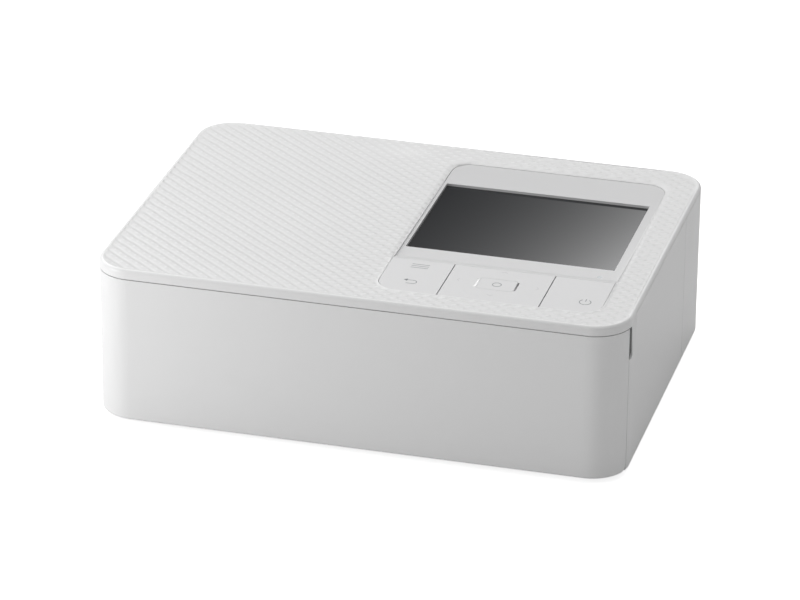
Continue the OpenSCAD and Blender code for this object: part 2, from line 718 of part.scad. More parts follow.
// Upright section of the ink cassette: two barrels joined by a low bar
module cassette_outline(grow) {
  for (y = [take_up_y, supply_y]) translate([y, barrel_z]) disc(barrel_r + grow);
  translate([take_up_y, barrel_z - barrel_r - grow]) square([barrel_gap, 4 + 2 * grow]);
}
module chassis_rods() {
  places = [[plate_y0 + 2.2, plate_top - 2.4], [capstan_y + 12, plate_top - 6], [capstan_y + 7, base_top + 6]];
  color("silver") for (c = places) rod(span_x0, plate_span, c[0], c[1], 1.6);
}
module ink_bay_bezel() {
  z0 = base_top;
  z1 = top_z - 4.2;
  color("lightgray") difference() {
    along_x(bezel_x - 1.5, 1.5) difference() {
      polygon([[ink_front_y + 3.1, z0], [ink_front_y + 3.1, z1], [ink_back_y - 0.4, z1], [ink_back_y - 0.4, z0]]);
      cassette_outline(0.6);
      // Slot for the eject lever's neck
      translate([lever_y - 1.5, lever_z0 - 0.4]) square([3, lever_h + lever_travel + 0.8]);
    }
    for (y = ink_hinge_places) ink_hinge(y) ear_room();
  }
  // Rib that closes the finger notch from inside
  color("lightgray") for (c = [[bezel_x - 1.5, notch_y - 1.9], [inner_x - 1.5, ink_front_y + 0.25]])
    box([c[0], c[1], notch_z + 1.1], [right_x - 0.6, notch_y - 0.25, seam_z - 0.3]);
}
lever_y = supply_y + barrel_r + 3.2;
lever_z0 = path_h + 6.5;
lever_h = 8;
lever_travel = 3;
module eject_lever() {
  color("orange") {
    box([right_plate_x + 0.3, lever_y - 1.2, lever_z0], [bezel_x + 0.4, lever_y + 1.2, lever_z0 + lever_h]);
    box([right_plate_x + 0.3, lever_y - 2, lever_z0 - 6], [bezel_x - 1.8, lever_y + 2, lever_z0 + lever_h]);
    box([bezel_x + 0.3, lever_y - 2.2, lever_z0 - 1], [bezel_x + 2.9, lever_y + 2.2, lever_z0 + lever_h]);
  }
}

// ---- Paper path
module rear_paper_guide() {
  z0 = path_h - 3.3;
  y0 = capstan_y + capstan_r + 3;
  color("lightgray") {
    box([slot_x0 - 2, y0, z0 - 1.2], [slot_x1 + 2, inner_back_y, z0]);
    box([slot_x0 - 2, y0, z0 + rear_slot_h], [slot_x1 + 2, inner_back_y, z0 + rear_slot_h + 1.2]);
    for (x = [slot_x0 - 3.2, slot_x1 + 2])
      box([x, y0, z0 - 1.2], [x + 1.2, inner_back_y, z0 + rear_slot_h + 1.2]);
    for (x = [slot_x0 + 8, path_x, slot_x1 - 9])
      box([x, y0 + 4, base_top], [x + 1.2, inner_back_y - 3, z0 - 1]);
  }
}
module platen_roller() {
  color("dimgray") {
    rod(path_x - paper_w / 2 - 1, paper_w + 2, platen_y, platen_z, platen_r);
    rod(left_plate_x, plate_span + 2 * plate_t, platen_y, platen_z, shaft_r);
  }
}
module capstan_roller() {
  color("silver") {
    rod(span_x0 + 2, plate_span - 4, capstan_y, capstan_z, capstan_r);
    rod(inner_layer_x - 0.6, right_plate_x - inner_layer_x + 0.6, capstan_y, capstan_z, shaft_r);
  }
}
module roller_bushes() {
  color("goldenrod") for (c = [[platen_y, platen_z], capstan_c], side = [0, 1]) difference() {
    union() {
      rod(side == 0 ? left_plate_x : span_x1, plate_t, c[0], c[1], bush_r);
      rod(side == 0 ? span_x0 : span_x1 - bush_flange_t, bush_flange_t, c[0], c[1], bush_flange_r);
    }
    rod(left_plate_x - 1, plate_span + 2 * plate_t + 2, c[0], c[1], shaft_r + running);
  }
}
module pinch_roller() {
  color("silver") {
    for (x = [-1, 0, 1]) rod(path_x + x * 36 - 12, 24, capstan_y, pinch_z, capstan_r);
    rod(left_plate_x, plate_span + 2 * plate_t, capstan_y, pinch_z, shaft_r);
  }
}
module pickup_roller() {
  color("dimgray") {
    for (x = [-1, 1]) rod(path_x + x * 14 - 7, 14, pickup_y, pickup_z, pickup_r);
    rod(left_plate_x, plate_span + 2 * plate_t, pickup_y, pickup_z, 1.5);
  }
}
head_z0 = path_h + 0.4;
head_pin_r = 1.8;
head_pin_z = head_z0 + 10;
head_lift = 1.2;
head_x0 = path_x - paper_w / 2 + 2;
module thermal_head() {
  color("tan") along_x(head_x0, paper_w + 1)
    polygon([[platen_y - 1.5, head_z0], [platen_y + 1.5, head_z0], [platen_y + 6, head_z0 + 2.4],
             [platen_y + 6, head_z0 + 5], [platen_y - 6, head_z0 + 5], [platen_y - 6, head_z0 + 2.4]]);
}
module head_heat_sink() {
  z0 = head_z0 + 5;
  color("silver") {
    box([head_x0, platen_y - 7, z0], [head_x0 + paper_w + 1, platen_y + 7, z0 + 7]);
    for (i = [-2:2])
      box([head_x0, platen_y + 3 * i - 0.6, z0 + 6], [head_x0 + paper_w + 1, platen_y + 3 * i + 0.6, z0 + 14]);
    rod(left_plate_x, plate_span + 2 * plate_t, platen_y, head_pin_z, head_pin_r);
  }
}

// ---- Drive train, on the outside of the left plate
hub_r = 3;
boss_r = 3;
motor_shaft_r = 1;
bracket_x = outer_layer_x - 0.6 - plate_t;
motor_x = -inner_x + motor_room;
motor_l = bracket_x - motor_x;
bracket_posts = [pinion_c + [-10.8, -22.5], pinion_c + [21.2, -26.5], pinion_c + [0, 8.5]];
module motor_bracket() {
  inner_face = bracket_x + plate_t;
  color("silver") {
    along_x(bracket_x, plate_t) difference() {
      polygon([bracket_posts[0] - [3, 3], bracket_posts[1] + [3, -3], bracket_posts[1] + [3, 4],
               bracket_posts[2] + [6, 2], bracket_posts[2] + [-6, 2], bracket_posts[0] + [-3, 4]]);
      translate(pinion_c) disc(boss_r);
    }
    for (c = bracket_posts) rod(inner_face - 0.2, left_plate_x - inner_face + 0.2, c[0], c[1], 2);
  }
}
module drive_motor() {
  color("darkgray") difference() {
    union() {
      rod(motor_x, motor_l, pinion_c[0], pinion_c[1], motor_r);
      rod(motor_x - 1.5, motor_l, pinion_c[0], pinion_c[1], boss_r);
      rod(motor_x + motor_l - 1, 1.8, pinion_c[0], pinion_c[1], boss_r);
    }
    rod(motor_x + motor_l - 6, 9, pinion_c[0], pinion_c[1], motor_shaft_r + running);
  }
}
module motor_pinion() {
  color("goldenrod") {
    gear(pinion_z, pinion_turn, outer_layer_x, gear_t, pinion_c);
    rod(outer_layer_x - 5, 6, pinion_c[0], pinion_c[1], motor_shaft_r);
  }
}
module bored_gear(z, turn, x0, c, bore) {
  difference() {
    gear(z, turn, x0, gear_t, c);
    rod(x0 - 1, gear_t + 2, c[0], c[1], bore);
    // Lightening holes in the web
    if (z > 30) for (a = [0:60:300])
      rod(x0 - 1, gear_t + 2, c[0] + 8.2 * cos(a), c[1] + 8.2 * sin(a), 2.6);
  }
}
module reduction_gear() {
  color("ivory") difference() {
    union() {
      gear(large_z, small_turn, outer_layer_x, gear_t, reduction_c);
      gear(small_z, small_turn, outer_layer_x + gear_t - 0.1, gear_t + layer_gap + 0.1, reduction_c);
    }
    rod(outer_layer_x - 1, 3 * gear_t, reduction_c[0], reduction_c[1], stud_r + running);
  }
}
module capstan_gear() {
  color("ivory") bored_gear(large_z, capstan_turn, inner_layer_x, capstan_c, shaft_r);
}
module front_idler_gear() {
  color("ivory") bored_gear(large_z, front_idler_turn, outer_layer_x, front_idler_c, stud_r + running);
}
module rear_idler_gear() {
  color("ivory") bored_gear(large_z, rear_idler_turn, outer_layer_x, rear_idler_c, stud_r + running);
}
module ribbon_drive_gear() {
  color("ivory") {
    gear(ribbon_z, ribbon_turn, outer_layer_x, gear_t, ribbon_c);
    rod(outer_layer_x + 0.2, cassette_x0 - outer_layer_x - 0.5, ribbon_c[0], ribbon_c[1], hub_r);
    rod(outer_layer_x + 1, cassette_x0 + 3 - outer_layer_x, ribbon_c[0], ribbon_c[1], dog_r);
    at_axis(ribbon_c) box([cassette_x0 - 1, -0.4, -2.2], [cassette_x0 + 4.5, 0.4, 2.2]);
  }
}
stud_places = [reduction_c, rear_idler_c, front_idler_c];
module gear_studs() {
  color("silver") {
    for (c = stud_places) rod(outer_layer_x - 0.5, span_x0 - outer_layer_x + 0.5, c[0], c[1], stud_r);
    // Collars that hold the idlers out in their layer
    for (c = [rear_idler_c, front_idler_c])
      rod(inner_layer_x + 0.2, left_plate_x - inner_layer_x - 0.2, c[0], c[1], stud_r + 1.5);
  }
}

// ---- Ink cassette
module ink_cassette() {
  inner_r = barrel_r - barrel_t;
  color("lightsteelblue") difference() {
    union() {
      for (y = [take_up_y, supply_y]) rod(cassette_x0, cassette_l, y, barrel_z, barrel_r);
      for (x = [cassette_x0, cassette_x1 - end_bar_l])
        box([x, take_up_y, barrel_z - barrel_r], [x + end_bar_l, supply_y, barrel_z - barrel_r + 3.6]);
      // Grip on the outer end
      for (y = [take_up_y, supply_y]) rod(cassette_x1 - 1, 1 + grip_t, y, barrel_z, 4.6);
    }
    for (y = [take_up_y, supply_y]) {
      rod(cassette_x0 + 2, cassette_l - 4, y, barrel_z, inner_r);
      rod(cassette_x0 - 1, cassette_l + 0.5, y, barrel_z, axle_r + running);
    }
    // Slots that the ribbon leaves the barrels by
    for (s = [-1, 1])
      box([cassette_x0 + 9, platen_y + s * ribbon_slot - 2.5, barrel_z - barrel_r - 1],
          [cassette_x1 - 9, platen_y + s * ribbon_slot + 2.5, barrel_z - 4]);
  }
}
module spool(y, socket) {
  difference() {
    union() {
      rod(cassette_x0 + 2.4, cassette_l - 4.8, y, barrel_z, spool_core_r);
      for (x = [cassette_x0 + 3, cassette_x1 - 5]) rod(x, 1.2, y, barrel_z, barrel_r - barrel_t - 0.8);
      rod(cassette_x0 + 0.2, cassette_l - 1.2, y, barrel_z, axle_r);
    }
    if (socket) {
      rod(cassette_x0 - 1, 6.5, y, barrel_z, dog_r + 0.15);
      translate([0, y, barrel_z]) box([cassette_x0 - 1, -0.6, -2.45], [cassette_x0 + 5.5, 0.6, 2.45]);
    }
  }
}
module supply_spool() {
  color("white") spool(supply_y, false);
}
module take_up_spool() {
  color("white") spool(take_up_y, true);
}
module ribbon_roll(y) {
  difference() {
    rod(path_x - paper_w / 2, paper_w, y, barrel_z, ribbon_r);
    rod(path_x - paper_w, 2 * paper_w, y, barrel_z, spool_core_r);
  }
}
module supply_ribbon() {
  color("goldenrod") ribbon_roll(supply_y);
}
module take_up_ribbon() {
  color("rosybrown") ribbon_roll(take_up_y);
}
module ribbon_span() {
  film = 0.1;
  low = path_h + 0.14;
  guide_z = barrel_z - barrel_r + 0.4;
  run = [[-ribbon_slot, guide_z + 3], [-ribbon_slot + 1, guide_z], [-3, low], [3, low],
         [ribbon_slot - 1, guide_z], [ribbon_slot, guide_z + 3]];
  color("goldenrod") along_x(path_x - paper_w / 2, paper_w, platen_y)
    polygon(concat(run, [for (i = [5:-1:0]) run[i] + [0, film]]));
}

// ---- Fan, boards and ports, in the left bay
fan_y = platen_y - 8;
fan_z = 33;
module fan_frame() {
  color("black") {
    along_x(-inner_x + 0.3, fan_t, fan_y, fan_z) difference() {
      rounded(fan_w, fan_w, 3);
      disc(fan_w / 2 - 1.2);
    }
    along_x(-inner_x + fan_t - 0.9, 1.2, fan_y, fan_z) {
      difference() {
        disc(fan_w / 2 - 1);
        disc(fan_w / 2 - 2.4);
      }
      for (a = [45:90:315]) rotate(a) translate([0, -0.8]) square([fan_w / 2 - 1, 1.6]);
      disc(5);
    }
    rod(-inner_x + 2, fan_t - 2, fan_y, fan_z, 1);
    // Foot of the fan, down to the board
    box([board_x0 + 0.2, fan_y + 5.4, board_z + board_t], [board_x0 + 2.2, fan_y + 8.6, fan_z - fan_w / 2 + 1]);
  }
}
module fan_rotor() {
  color("dimgray") difference() {
    union() {
      rod(-inner_x + 1.2, fan_t - 2.6, fan_y, fan_z, 5.5);
      for (k = [0:6])
        translate([-inner_x + 1.4, fan_y, fan_z]) rotate([360 * k / 7, 0, 0]) rotate([0, 0, 32])
          box([0, -0.4, 5], [5.4, 0.4, fan_w / 2 - 2]);
    }
    rod(-inner_x + 1.8, fan_t, fan_y, fan_z, 1 + running);
  }
}
board_z = base_top + 3.5;
board_x0 = -inner_x + 2.5;
board_x1 = outer_layer_x - 3;
board_y0 = platen_y - 33;
board_y1 = inner_back_y - 14;
board_posts = [for (x = [board_x0 + 3, board_x1 - 3], y = [board_y0 + 16, board_y1 - 3]) [x, y]];
module main_board() {
  color("darkgreen") {
    box([board_x0, board_y0, board_z], [board_x1, board_y1, board_z + board_t]);
    // Processor, memory, coils and capacitors
    for (c = [[8, 30, 12, 12, 1.2], [8, 46, 9, 12, 1], [board_x1 - board_x0 - 5.4, 22, 4.6, 5, 3]])
      box([board_x0 + c[0], board_y0 + c[1], board_z + board_t - 0.1],
          [board_x0 + c[0] + c[2], board_y0 + c[1] + c[3], board_z + board_t + c[4]]);
    for (i = [0:2]) post(board_x0 + 6 + 8 * i, board_y1 - 8, board_z + board_t - 0.1, board_z + board_t + 7, 3);
  }
}
card_w = 25;
card_y = platen_y - 16;
card_z = board_z + board_t + 1.9;
module card_slot() {
  color("silver") difference() {
    box([-inner_x + 0.3, card_y - card_w / 2, card_z - 1.9], [-inner_x + 26, card_y + card_w / 2, card_z + 1.9]);
    box([-inner_x - 1, card_y - card_w / 2 + 0.6, card_z - 1.2],
        [-inner_x + 25, card_y + card_w / 2 - 0.6, card_z + 1.2]);
  }
}
usb_y = platen_y + 6;
usb_z = board_z + board_t + 1.7;
module usb_port() {
  color("silver") along_x(-inner_x + 0.3, 9, usb_y, usb_z) difference() {
    rounded(9, 3.4, 1.6);
    rounded(8.2, 2.6, 1.2);
  }
  color("black") along_x(-inner_x + 1.5, 7.8, usb_y, usb_z) square([6, 0.7], center = true);
  color("silver") along_x(-inner_x + 8.6, 0.7, usb_y, usb_z) rounded(8.6, 3, 1.4);
}
dc_r = 3.6;
dc_x = board_x0 + 22;
dc_z = board_z + board_t + 5;
module dc_inlet() {
  color("black") difference() {
    union() {
      box([dc_x - 4.5, inner_back_y - 13, board_z + board_t - 4], [dc_x + 4.5, inner_back_y - 0.2, dc_z + 4.5]);
      translate([dc_x, inner_back_y + 1, dc_z]) rotate([90, 0, 0]) cylinder(h = 3, r = dc_r, $fn = 64);
    }
    translate([dc_x, inner_back_y + 2, dc_z]) rotate([90, 0, 0]) cylinder(h = 11, r = 2.8, $fn = 64);
  }
  color("gold") translate([dc_x, inner_back_y, dc_z]) rotate([90, 0, 0]) cylinder(h = 9.5, r = 0.8, $fn = 32);
}

top_cover();
control_panel();
lcd_window();
lcd_module();
menu_back_key();
navigation_key();
ok_key();
power_key();
key_mat();
key_board();
status_lamp();
side_case();
bottom_case();
front_cover();
ink_cover();
slot_flap();
front_frame();
ink_bay_bezel();
left_side_plate();
right_side_plate();
chassis_rods();
rear_paper_guide();
platen_roller();
roller_bushes();
capstan_roller();
pinch_roller();
pickup_roller();
thermal_head();
head_heat_sink();
drive_motor();
motor_bracket();
motor_pinion();
reduction_gear();
capstan_gear();
front_idler_gear();
rear_idler_gear();
ribbon_drive_gear();
gear_studs();
ink_cassette();
supply_spool();
take_up_spool();
supply_ribbon();
take_up_ribbon();
ribbon_span();
eject_lever();
fan_frame();
fan_rotor();
main_board();
card_slot();
usb_port();
dc_inlet();
rubber_feet();
case_screws();
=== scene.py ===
"""Looks of the compact photo printer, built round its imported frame.

Lengths are metres and angles degrees. +X is the right side, +Y the back, +Z up, as in the frame.
"""

import logging
import math
from dataclasses import dataclass
from enum import Enum
from typing import Any, Mapping, Sequence

import bmesh
import bpy
import numpy as np
from mathutils import Matrix, Vector, geometry


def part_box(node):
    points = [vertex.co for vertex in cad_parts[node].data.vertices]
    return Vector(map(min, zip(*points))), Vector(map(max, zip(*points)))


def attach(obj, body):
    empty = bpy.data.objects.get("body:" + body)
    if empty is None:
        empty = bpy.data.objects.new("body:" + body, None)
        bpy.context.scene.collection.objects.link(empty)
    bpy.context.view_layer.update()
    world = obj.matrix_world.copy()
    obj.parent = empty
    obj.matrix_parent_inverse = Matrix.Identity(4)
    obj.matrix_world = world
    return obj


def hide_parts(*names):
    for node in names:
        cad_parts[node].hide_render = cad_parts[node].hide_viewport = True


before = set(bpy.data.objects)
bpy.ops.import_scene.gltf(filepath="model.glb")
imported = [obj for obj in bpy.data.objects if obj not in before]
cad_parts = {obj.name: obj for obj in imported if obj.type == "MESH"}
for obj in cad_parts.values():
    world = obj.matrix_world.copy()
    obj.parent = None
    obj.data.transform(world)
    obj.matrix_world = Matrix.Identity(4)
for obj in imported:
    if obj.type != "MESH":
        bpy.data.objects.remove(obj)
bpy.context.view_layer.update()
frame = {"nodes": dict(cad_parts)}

LOG = logging.getLogger("photo_printer")
MM = 0.001
Colour = tuple[float, float, float]
Point = tuple[float, float]
Point3 = tuple[float, float, float]
Outline = Sequence[Point]
WHITE = (1.0, 1.0, 1.0, 1.0)


# shader graph
@dataclass(frozen=True)
class Socket:
    """One output of a shader node; arithmetic on it adds Math nodes."""

    graph: "Graph"
    output: bpy.types.NodeSocket

    def _math(self, operation: str, *operands: "Operand") -> "Socket":
        """Adds a Math node.

        Args:
            operation: the node's operation.
            operands: its inputs in order.

        Returns:
            The node's result.
        """
        inputs = dict(enumerate(operands))
        return self.graph.add("ShaderNodeMath", {"operation": operation}, inputs)[0]

    def __add__(self, other: "Operand") -> "Socket":
        """Returns self + other."""
        return self._math("ADD", self, other)

    def __sub__(self, other: "Operand") -> "Socket":
        """Returns self - other."""
        return self._math("SUBTRACT", self, other)

    def __rsub__(self, other: "Operand") -> "Socket":
        """Returns other - self."""
        return self._math("SUBTRACT", other, self)

    def __mul__(self, other: "Operand") -> "Socket":
        """Returns self * other."""
        return self._math("MULTIPLY", self, other)

    def __truediv__(self, other: "Operand") -> "Socket":
        """Returns self / other."""
        return self._math("DIVIDE", self, other)

    def __rpow__(self, other: "Operand") -> "Socket":
        """Returns other ** self."""
        return self._math("POWER", other, self)

    def capped(self, top: float) -> "Socket":
        """Returns self, but no more than top."""
        return self._math("MINIMUM", self, top)

    def fraction(self) -> "Socket":
        """Returns the part of self after the decimal point."""
        return self._math("FRACT", self)

    def size(self) -> "Socket":
        """Returns self without its sign."""
        return self._math("ABSOLUTE", self)

    def step(self, low: float, high: float) -> "Socket":
        """Rises smoothly from 0 to 1.

        Args:
            low: the value at which the rise starts.
            high: the value at which it ends.

        Returns:
            The share risen.
        """
        settings = {"interpolation_type": "SMOOTHSTEP"}
        sockets = {"Value": self, "From Min": low, "From Max": high}
        return self.graph.add("ShaderNodeMapRange", settings, sockets)[0]


Operand = Socket | float


@dataclass(frozen=True)
class Added:
    """A node that the graph has added, read by the name or place of its outputs."""

    graph: "Graph"
    node: bpy.types.Node

    def __getitem__(self, output: str | int) -> Socket:
        """Returns the output of that name or place."""
        return Socket(self.graph, self.node.outputs[output])


@dataclass(frozen=True)
class Graph:
    """The shader nodes of one material, or of the world."""

    tree: bpy.types.NodeTree

    def __post_init__(self) -> None:
        """Empties the tree."""
        self.tree.nodes.clear()

    def add(
        self,
        kind: str,
        settings: Mapping[str, Any] | None = None,
        sockets: Mapping[str | int, Any] | None = None,
    ) -> Added:
        """Adds a node, sets it up and fills its inputs.

        Args:
            kind: the node's type.
            settings: its properties, set first; "bands" holds the colours of a banded ramp.
            sockets: values or links of its inputs, by name or place.

        Returns:
            The node.
        """
        node = self.tree.nodes.new(kind)
        for name, value in (settings or {}).items():
            if name == "bands":
                self._set_bands(node, value)
            else:
                setattr(node, name, value)
        for place, value in (sockets or {}).items():
            if isinstance(value, Socket):
                self.tree.links.new(value.output, node.inputs[place])
            else:
                node.inputs[place].default_value = value
        return Added(self, node)

    @staticmethod
    def _set_bands(node: bpy.types.Node, colours: Sequence[Colour]) -> None:
        """Fills a colour ramp with bands of equal width.

        Args:
            node: the ramp's node.
            colours: the bands' colours, from low to high.
        """
        ramp = node.color_ramp
        ramp.interpolation = "CONSTANT"
        while len(ramp.elements) < len(colours):
            ramp.elements.new(1.0)
        for i, colour in enumerate(colours):
            ramp.elements[i].position = i / len(colours)
            ramp.elements[i].color = (*colour, 1.0)

    def place(self) -> Socket:
        """Returns each point's place on its own object, in metres."""
        return self.add("ShaderNodeTexCoord")["Object"]

    def along(self, place: Socket) -> tuple[Socket, Socket, Socket]:
        """Splits a vector.

        Args:
            place: the vector.

        Returns:
            Its three parts.
        """
        parts = self.add("ShaderNodeSeparateXYZ", sockets={0: place})
        return parts[0], parts[1], parts[2]

    def stretched(self, place: Socket, lay: "Lay") -> Socket:
        """Scales places, so that noise read there is drawn out.

        Args:
            place: the places.
            lay: the way that it is drawn out.

        Returns:
            The scaled places.
        """
        sockets = {0: place, 1: lay.value}
        return self.add("ShaderNodeVectorMath", {"operation": "MULTIPLY"}, sockets)[0]

    def noise(self, place: Socket, scale: float, detail: float = 2.0) -> Socket:
        """Adds even noise.

        Args:
            place: where it is read.
            scale: grains in a metre.
            detail: octaves.

        Returns:
            The noise, about 0.5 on average.
        """
        sockets = {"Vector": place, "Scale": scale, "Detail": detail}
        return self.add("ShaderNodeTexNoise", {}, sockets)["Fac"]

    def mix(self, share: Operand, low: Any, high: Any) -> Socket:
        """Blends two colours.

        Args:
            share: how much of the second.
            low: the first colour, or its socket.
            high: the second colour, or its socket.

        Returns:
            The blend.
        """
        low, high = ((*c, 1.0) if isinstance(c, tuple) else c for c in (low, high))
        sockets = {0: share, 6: low, 7: high}
        return self.add("ShaderNodeMix", {"data_type": "RGBA"}, sockets)[2]

    def bump(self, height: Socket, depth: float) -> Socket:
        """Turns a height into a normal.

        Args:
            height: the height, 0 to 1.
            depth: what 1 stands for, in metres.

        Returns:
            The normal.
        """
        return self.add("ShaderNodeBump", {}, {"Height": height, "Distance": depth})["Normal"]

    def by_ray(self, ray: str, plain: Socket, shown: Socket) -> Socket:
        """Chooses a shader by the kind of ray that meets it.

        Args:
            ray: the kind, as the Light Path node names it.
            plain: the shader that every other ray meets.
            shown: the shader that this kind of ray meets.

        Returns:
            The choice.
        """
        seen = self.add("ShaderNodeLightPath")[ray]
        return self.add("ShaderNodeMixShader", {}, {0: seen, 1: plain, 2: shown})[0]

    def surface(self, **sockets: Any) -> None:
        """Adds the Principled shader and the output.

        Args:
            sockets: its inputs, with _ for a space in a name.
        """
        named = {name.replace("_", " "): value for name, value in sockets.items()}
        self.output(self.add("ShaderNodeBsdfPrincipled", {}, named)["BSDF"])

    def output(self, shader: Socket) -> None:
        """Links a shader to the material's output."""
        self.add("ShaderNodeOutputMaterial", {}, {"Surface": shader})


# finishes
def shaded(colour: Colour, factor: float, lift: float = 0.0) -> Colour:
    """Makes a colour paler or darker.

    Args:
        colour: the colour.
        factor: what each part is multiplied by.
        lift: what is added then.

    Returns:
        The shade, no paler than white.
    """
    return tuple(min(1.0, part * factor + lift) for part in colour)


class Lay(Enum):
    """Which way a surface's marks run: the scale of their noise along each axis."""

    ROLLED = (0.06, 1.0, 1.0)
    TURNED = (1.0, 0.02, 0.02)
    GROUND = (1.0, 1.0, 0.08)
    CAST = (1.0, 1.0, 1.0)
    WOUND = (0.02, 1.0, 1.0)
    WIPED = (1.0, 0.35, 1.0)
    SKIMMED = (0.25, 1.0, 1.0)


@dataclass(frozen=True)
class Finish:
    """What a piece is made of and how its surface looks."""

    name: str

    def material(self) -> bpy.types.Material:
        """Makes the finish's material on first use.

        Returns:
            The material.
        """
        name = f"{self.name}_finish"
        made = bpy.data.materials.get(name)
        if made is None:
            made = bpy.data.materials.new(name)
            made.use_nodes = True
            self.shade(Graph(made.node_tree))
        return made

    def shade(self, graph: Graph) -> None:
        """Builds the material's nodes.

        Args:
            graph: the graph to fill.
        """
        raise NotImplementedError

    def dress(self, piece: bpy.types.Object) -> None:
        """Gives a piece this finish alone."""
        piece.data.materials.clear()
        piece.data.materials.append(self.material())


@dataclass(frozen=True)
class MouldedPlastic(Finish):
    """Plastic out of a tool whose walls were spark eroded or polished."""

    colour: Colour
    roughness: float = 0.42
    grain: float = 5e-6
    grain_size: float = 0.35 * MM
    shift: float = 0.012
    coat: float = 0.0
    drifts: float = 22.0
    flows: float = 95.0

    def shade(self, graph: Graph) -> None:
        """Builds fine grain, slow colour drift and handled, uneven gloss.

        Args:
            graph: the graph to fill.
        """
        place = graph.place()
        drift = graph.noise(place, self.drifts, 3.0)
        flow = graph.noise(place, self.flows, 4.0)
        darker, paler = (shaded(self.colour, 1 + s) for s in (-self.shift, self.shift))
        grain = graph.noise(place, 1 / self.grain_size, 3.0)
        graph.surface(
            Base_Color=graph.mix(drift * 0.7 + flow * 0.3, darker, paler),
            Roughness=flow * 0.08 + (self.roughness - 0.04) + grain * 0.04,
            Coat_Weight=self.coat,
            Coat_Roughness=0.2,
            Normal=graph.bump(grain, self.grain),
        )


@dataclass(frozen=True)
class ReliefPlastic(MouldedPlastic):
    """The top's plastic, glossier on the crests of its relief, which carry a painted highlight that
    colours them paler.
    """

    crest: float = 0.09 * MM
    # painted highlight: how much paler the crests are coloured
    crest_highlight_lift: float = 1.15

    def shade(self, graph: Graph) -> None:
        """Builds the plastic with glossier crests that carry a painted highlight.

        Args:
            graph: the graph to fill.
        """
        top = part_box("top_cover")[1].z
        place = graph.place()
        _, _, z = graph.along(place)
        crest = z.step(top - self.crest, top)
        drift = graph.noise(place, self.drifts, 3.0)
        grain = graph.noise(place, 1 / self.grain_size, 3.0)
        darker, paler = (shaded(self.colour, 1 + s) for s in (-self.shift, self.shift))
        # painted highlight: the crests' colour is lifted paler, standing in for light glinting off
        # them; their lower roughness is real gloss
        painted_crest_highlight = shaded(self.colour, self.crest_highlight_lift)
        graph.surface(
            Base_Color=graph.mix(crest, graph.mix(drift, darker, paler), painted_crest_highlight),
            Roughness=drift * 0.06 - crest * 0.08 + (self.roughness - 0.03) + grain * 0.04,
            Normal=graph.bump(grain, self.grain),
        )


@dataclass(frozen=True)
class PanelPlastic(MouldedPlastic):
    """The panel's plastic, whose sunk bezel is glossier than the keys and darkened by painted
    shade, deepest at its rear.
    """

    bezel_front: float = -29.0 * MM
    bezel_depth: float = 80.0 * MM
    blend: float = 1.5 * MM
    # painted shade: how dark the bezel is coloured at its front and at its rear
    bezel_front_painted_shade: float = 0.94
    bezel_rear_painted_shade: float = 0.85
    cloud: Colour = (0.9, 0.9, 0.9)

    def shade(self, graph: Graph) -> None:
        """Builds the plastic, with painted shade on its sunk bezel.

        Args:
            graph: the graph to fill.
        """
        place = graph.place()
        _, y, _ = graph.along(place)
        # painted shade: the sunk bezel's colour is darkened below the keys' white, more so towards
        # its rear
        sunk = y.step(self.bezel_front - self.blend, self.bezel_front + self.blend)
        back = ((y - self.bezel_front) / self.bezel_depth).step(0.0, 1.0)
        near, far = (shaded(self.colour, s) for s in (self.bezel_front_painted_shade, self.bezel_rear_painted_shade))
        drift = graph.noise(place, self.drifts, 3.0)
        grain = graph.noise(place, 1 / self.grain_size, 3.0)
        level = graph.mix(sunk, self.colour, graph.mix(back, near, far))
        paler = graph.mix(drift * self.shift * 4, level, self.cloud)
        graph.surface(
            Base_Color=paler,
            Roughness=drift * 0.08 - sunk * 0.06 + (self.roughness - 0.04) + grain * 0.04,
            Normal=graph.bump(grain, self.grain),
        )


@dataclass(frozen=True)
class Rubber(Finish):
    """Matt rubber or silicone."""

    colour: Colour
    roughness: float = 0.75
    dust: float = 300.0
    grinding: float = 3500.0
    relief: float = 12e-6

    def shade(self, graph: Graph) -> None:
        """Builds a ground surface with a bloom of dust.

        Args:
            graph: the graph to fill.
        """
        place = graph.place()
        dust = graph.noise(place, self.dust, 4.0)
        ground = graph.noise(graph.stretched(place, Lay.SKIMMED), self.grinding)
        bloom = shaded(self.colour, 1.25, 0.015)
        graph.surface(
            Base_Color=graph.mix(dust.step(0.42, 0.75), self.colour, bloom),
            Roughness=dust * 0.15 + (self.roughness - 0.08),
            Normal=graph.bump(ground, self.relief),
        )


@dataclass(frozen=True)
class Metal(Finish):
    """Bare or plated metal with the marks of its making."""

    colour: Colour
    roughness: float = 0.3
    lay: Lay = Lay.ROLLED
    marks: float = 4e-6
    lines: float = 5200.0
    clouds: float = 130.0

    def shade(self, graph: Graph) -> None:
        """Builds working marks, spangle and handling blur.

        Args:
            graph: the graph to fill.
        """
        place = graph.place()
        lines = graph.noise(graph.stretched(place, self.lay), self.lines, 3.0)
        cloud = graph.noise(place, self.clouds, 3.0)
        worn = shaded(self.colour, 0.82)
        graph.surface(
            Base_Color=graph.mix(cloud.step(0.3, 0.8), self.colour, worn),
            Metallic=1.0,
            Roughness=cloud * 0.16 + lines * 0.08 + (self.roughness - 0.12),
            Normal=graph.bump(lines, self.marks),
        )


@dataclass(frozen=True)
class DisplayGlass(Finish):
    """The display's window: dark, glossy and faintly wiped."""

    colour: Colour = (0.012, 0.013, 0.015)
    wipes: float = 60.0
    flecks: float = 900.0

    def shade(self, graph: Graph) -> None:
        """Builds gloss that wiping has blurred a little.

        Args:
            graph: the graph to fill.
        """
        place = graph.place()
        wiped = graph.noise(graph.stretched(place, Lay.WIPED), self.wipes, 3.0)
        fleck = graph.noise(place, self.flecks, 1.0)
        graph.surface(
            Base_Color=graph.mix(fleck, self.colour, shaded(self.colour, 1.3)),
            Roughness=wiped * 0.03 + 0.02,
        )


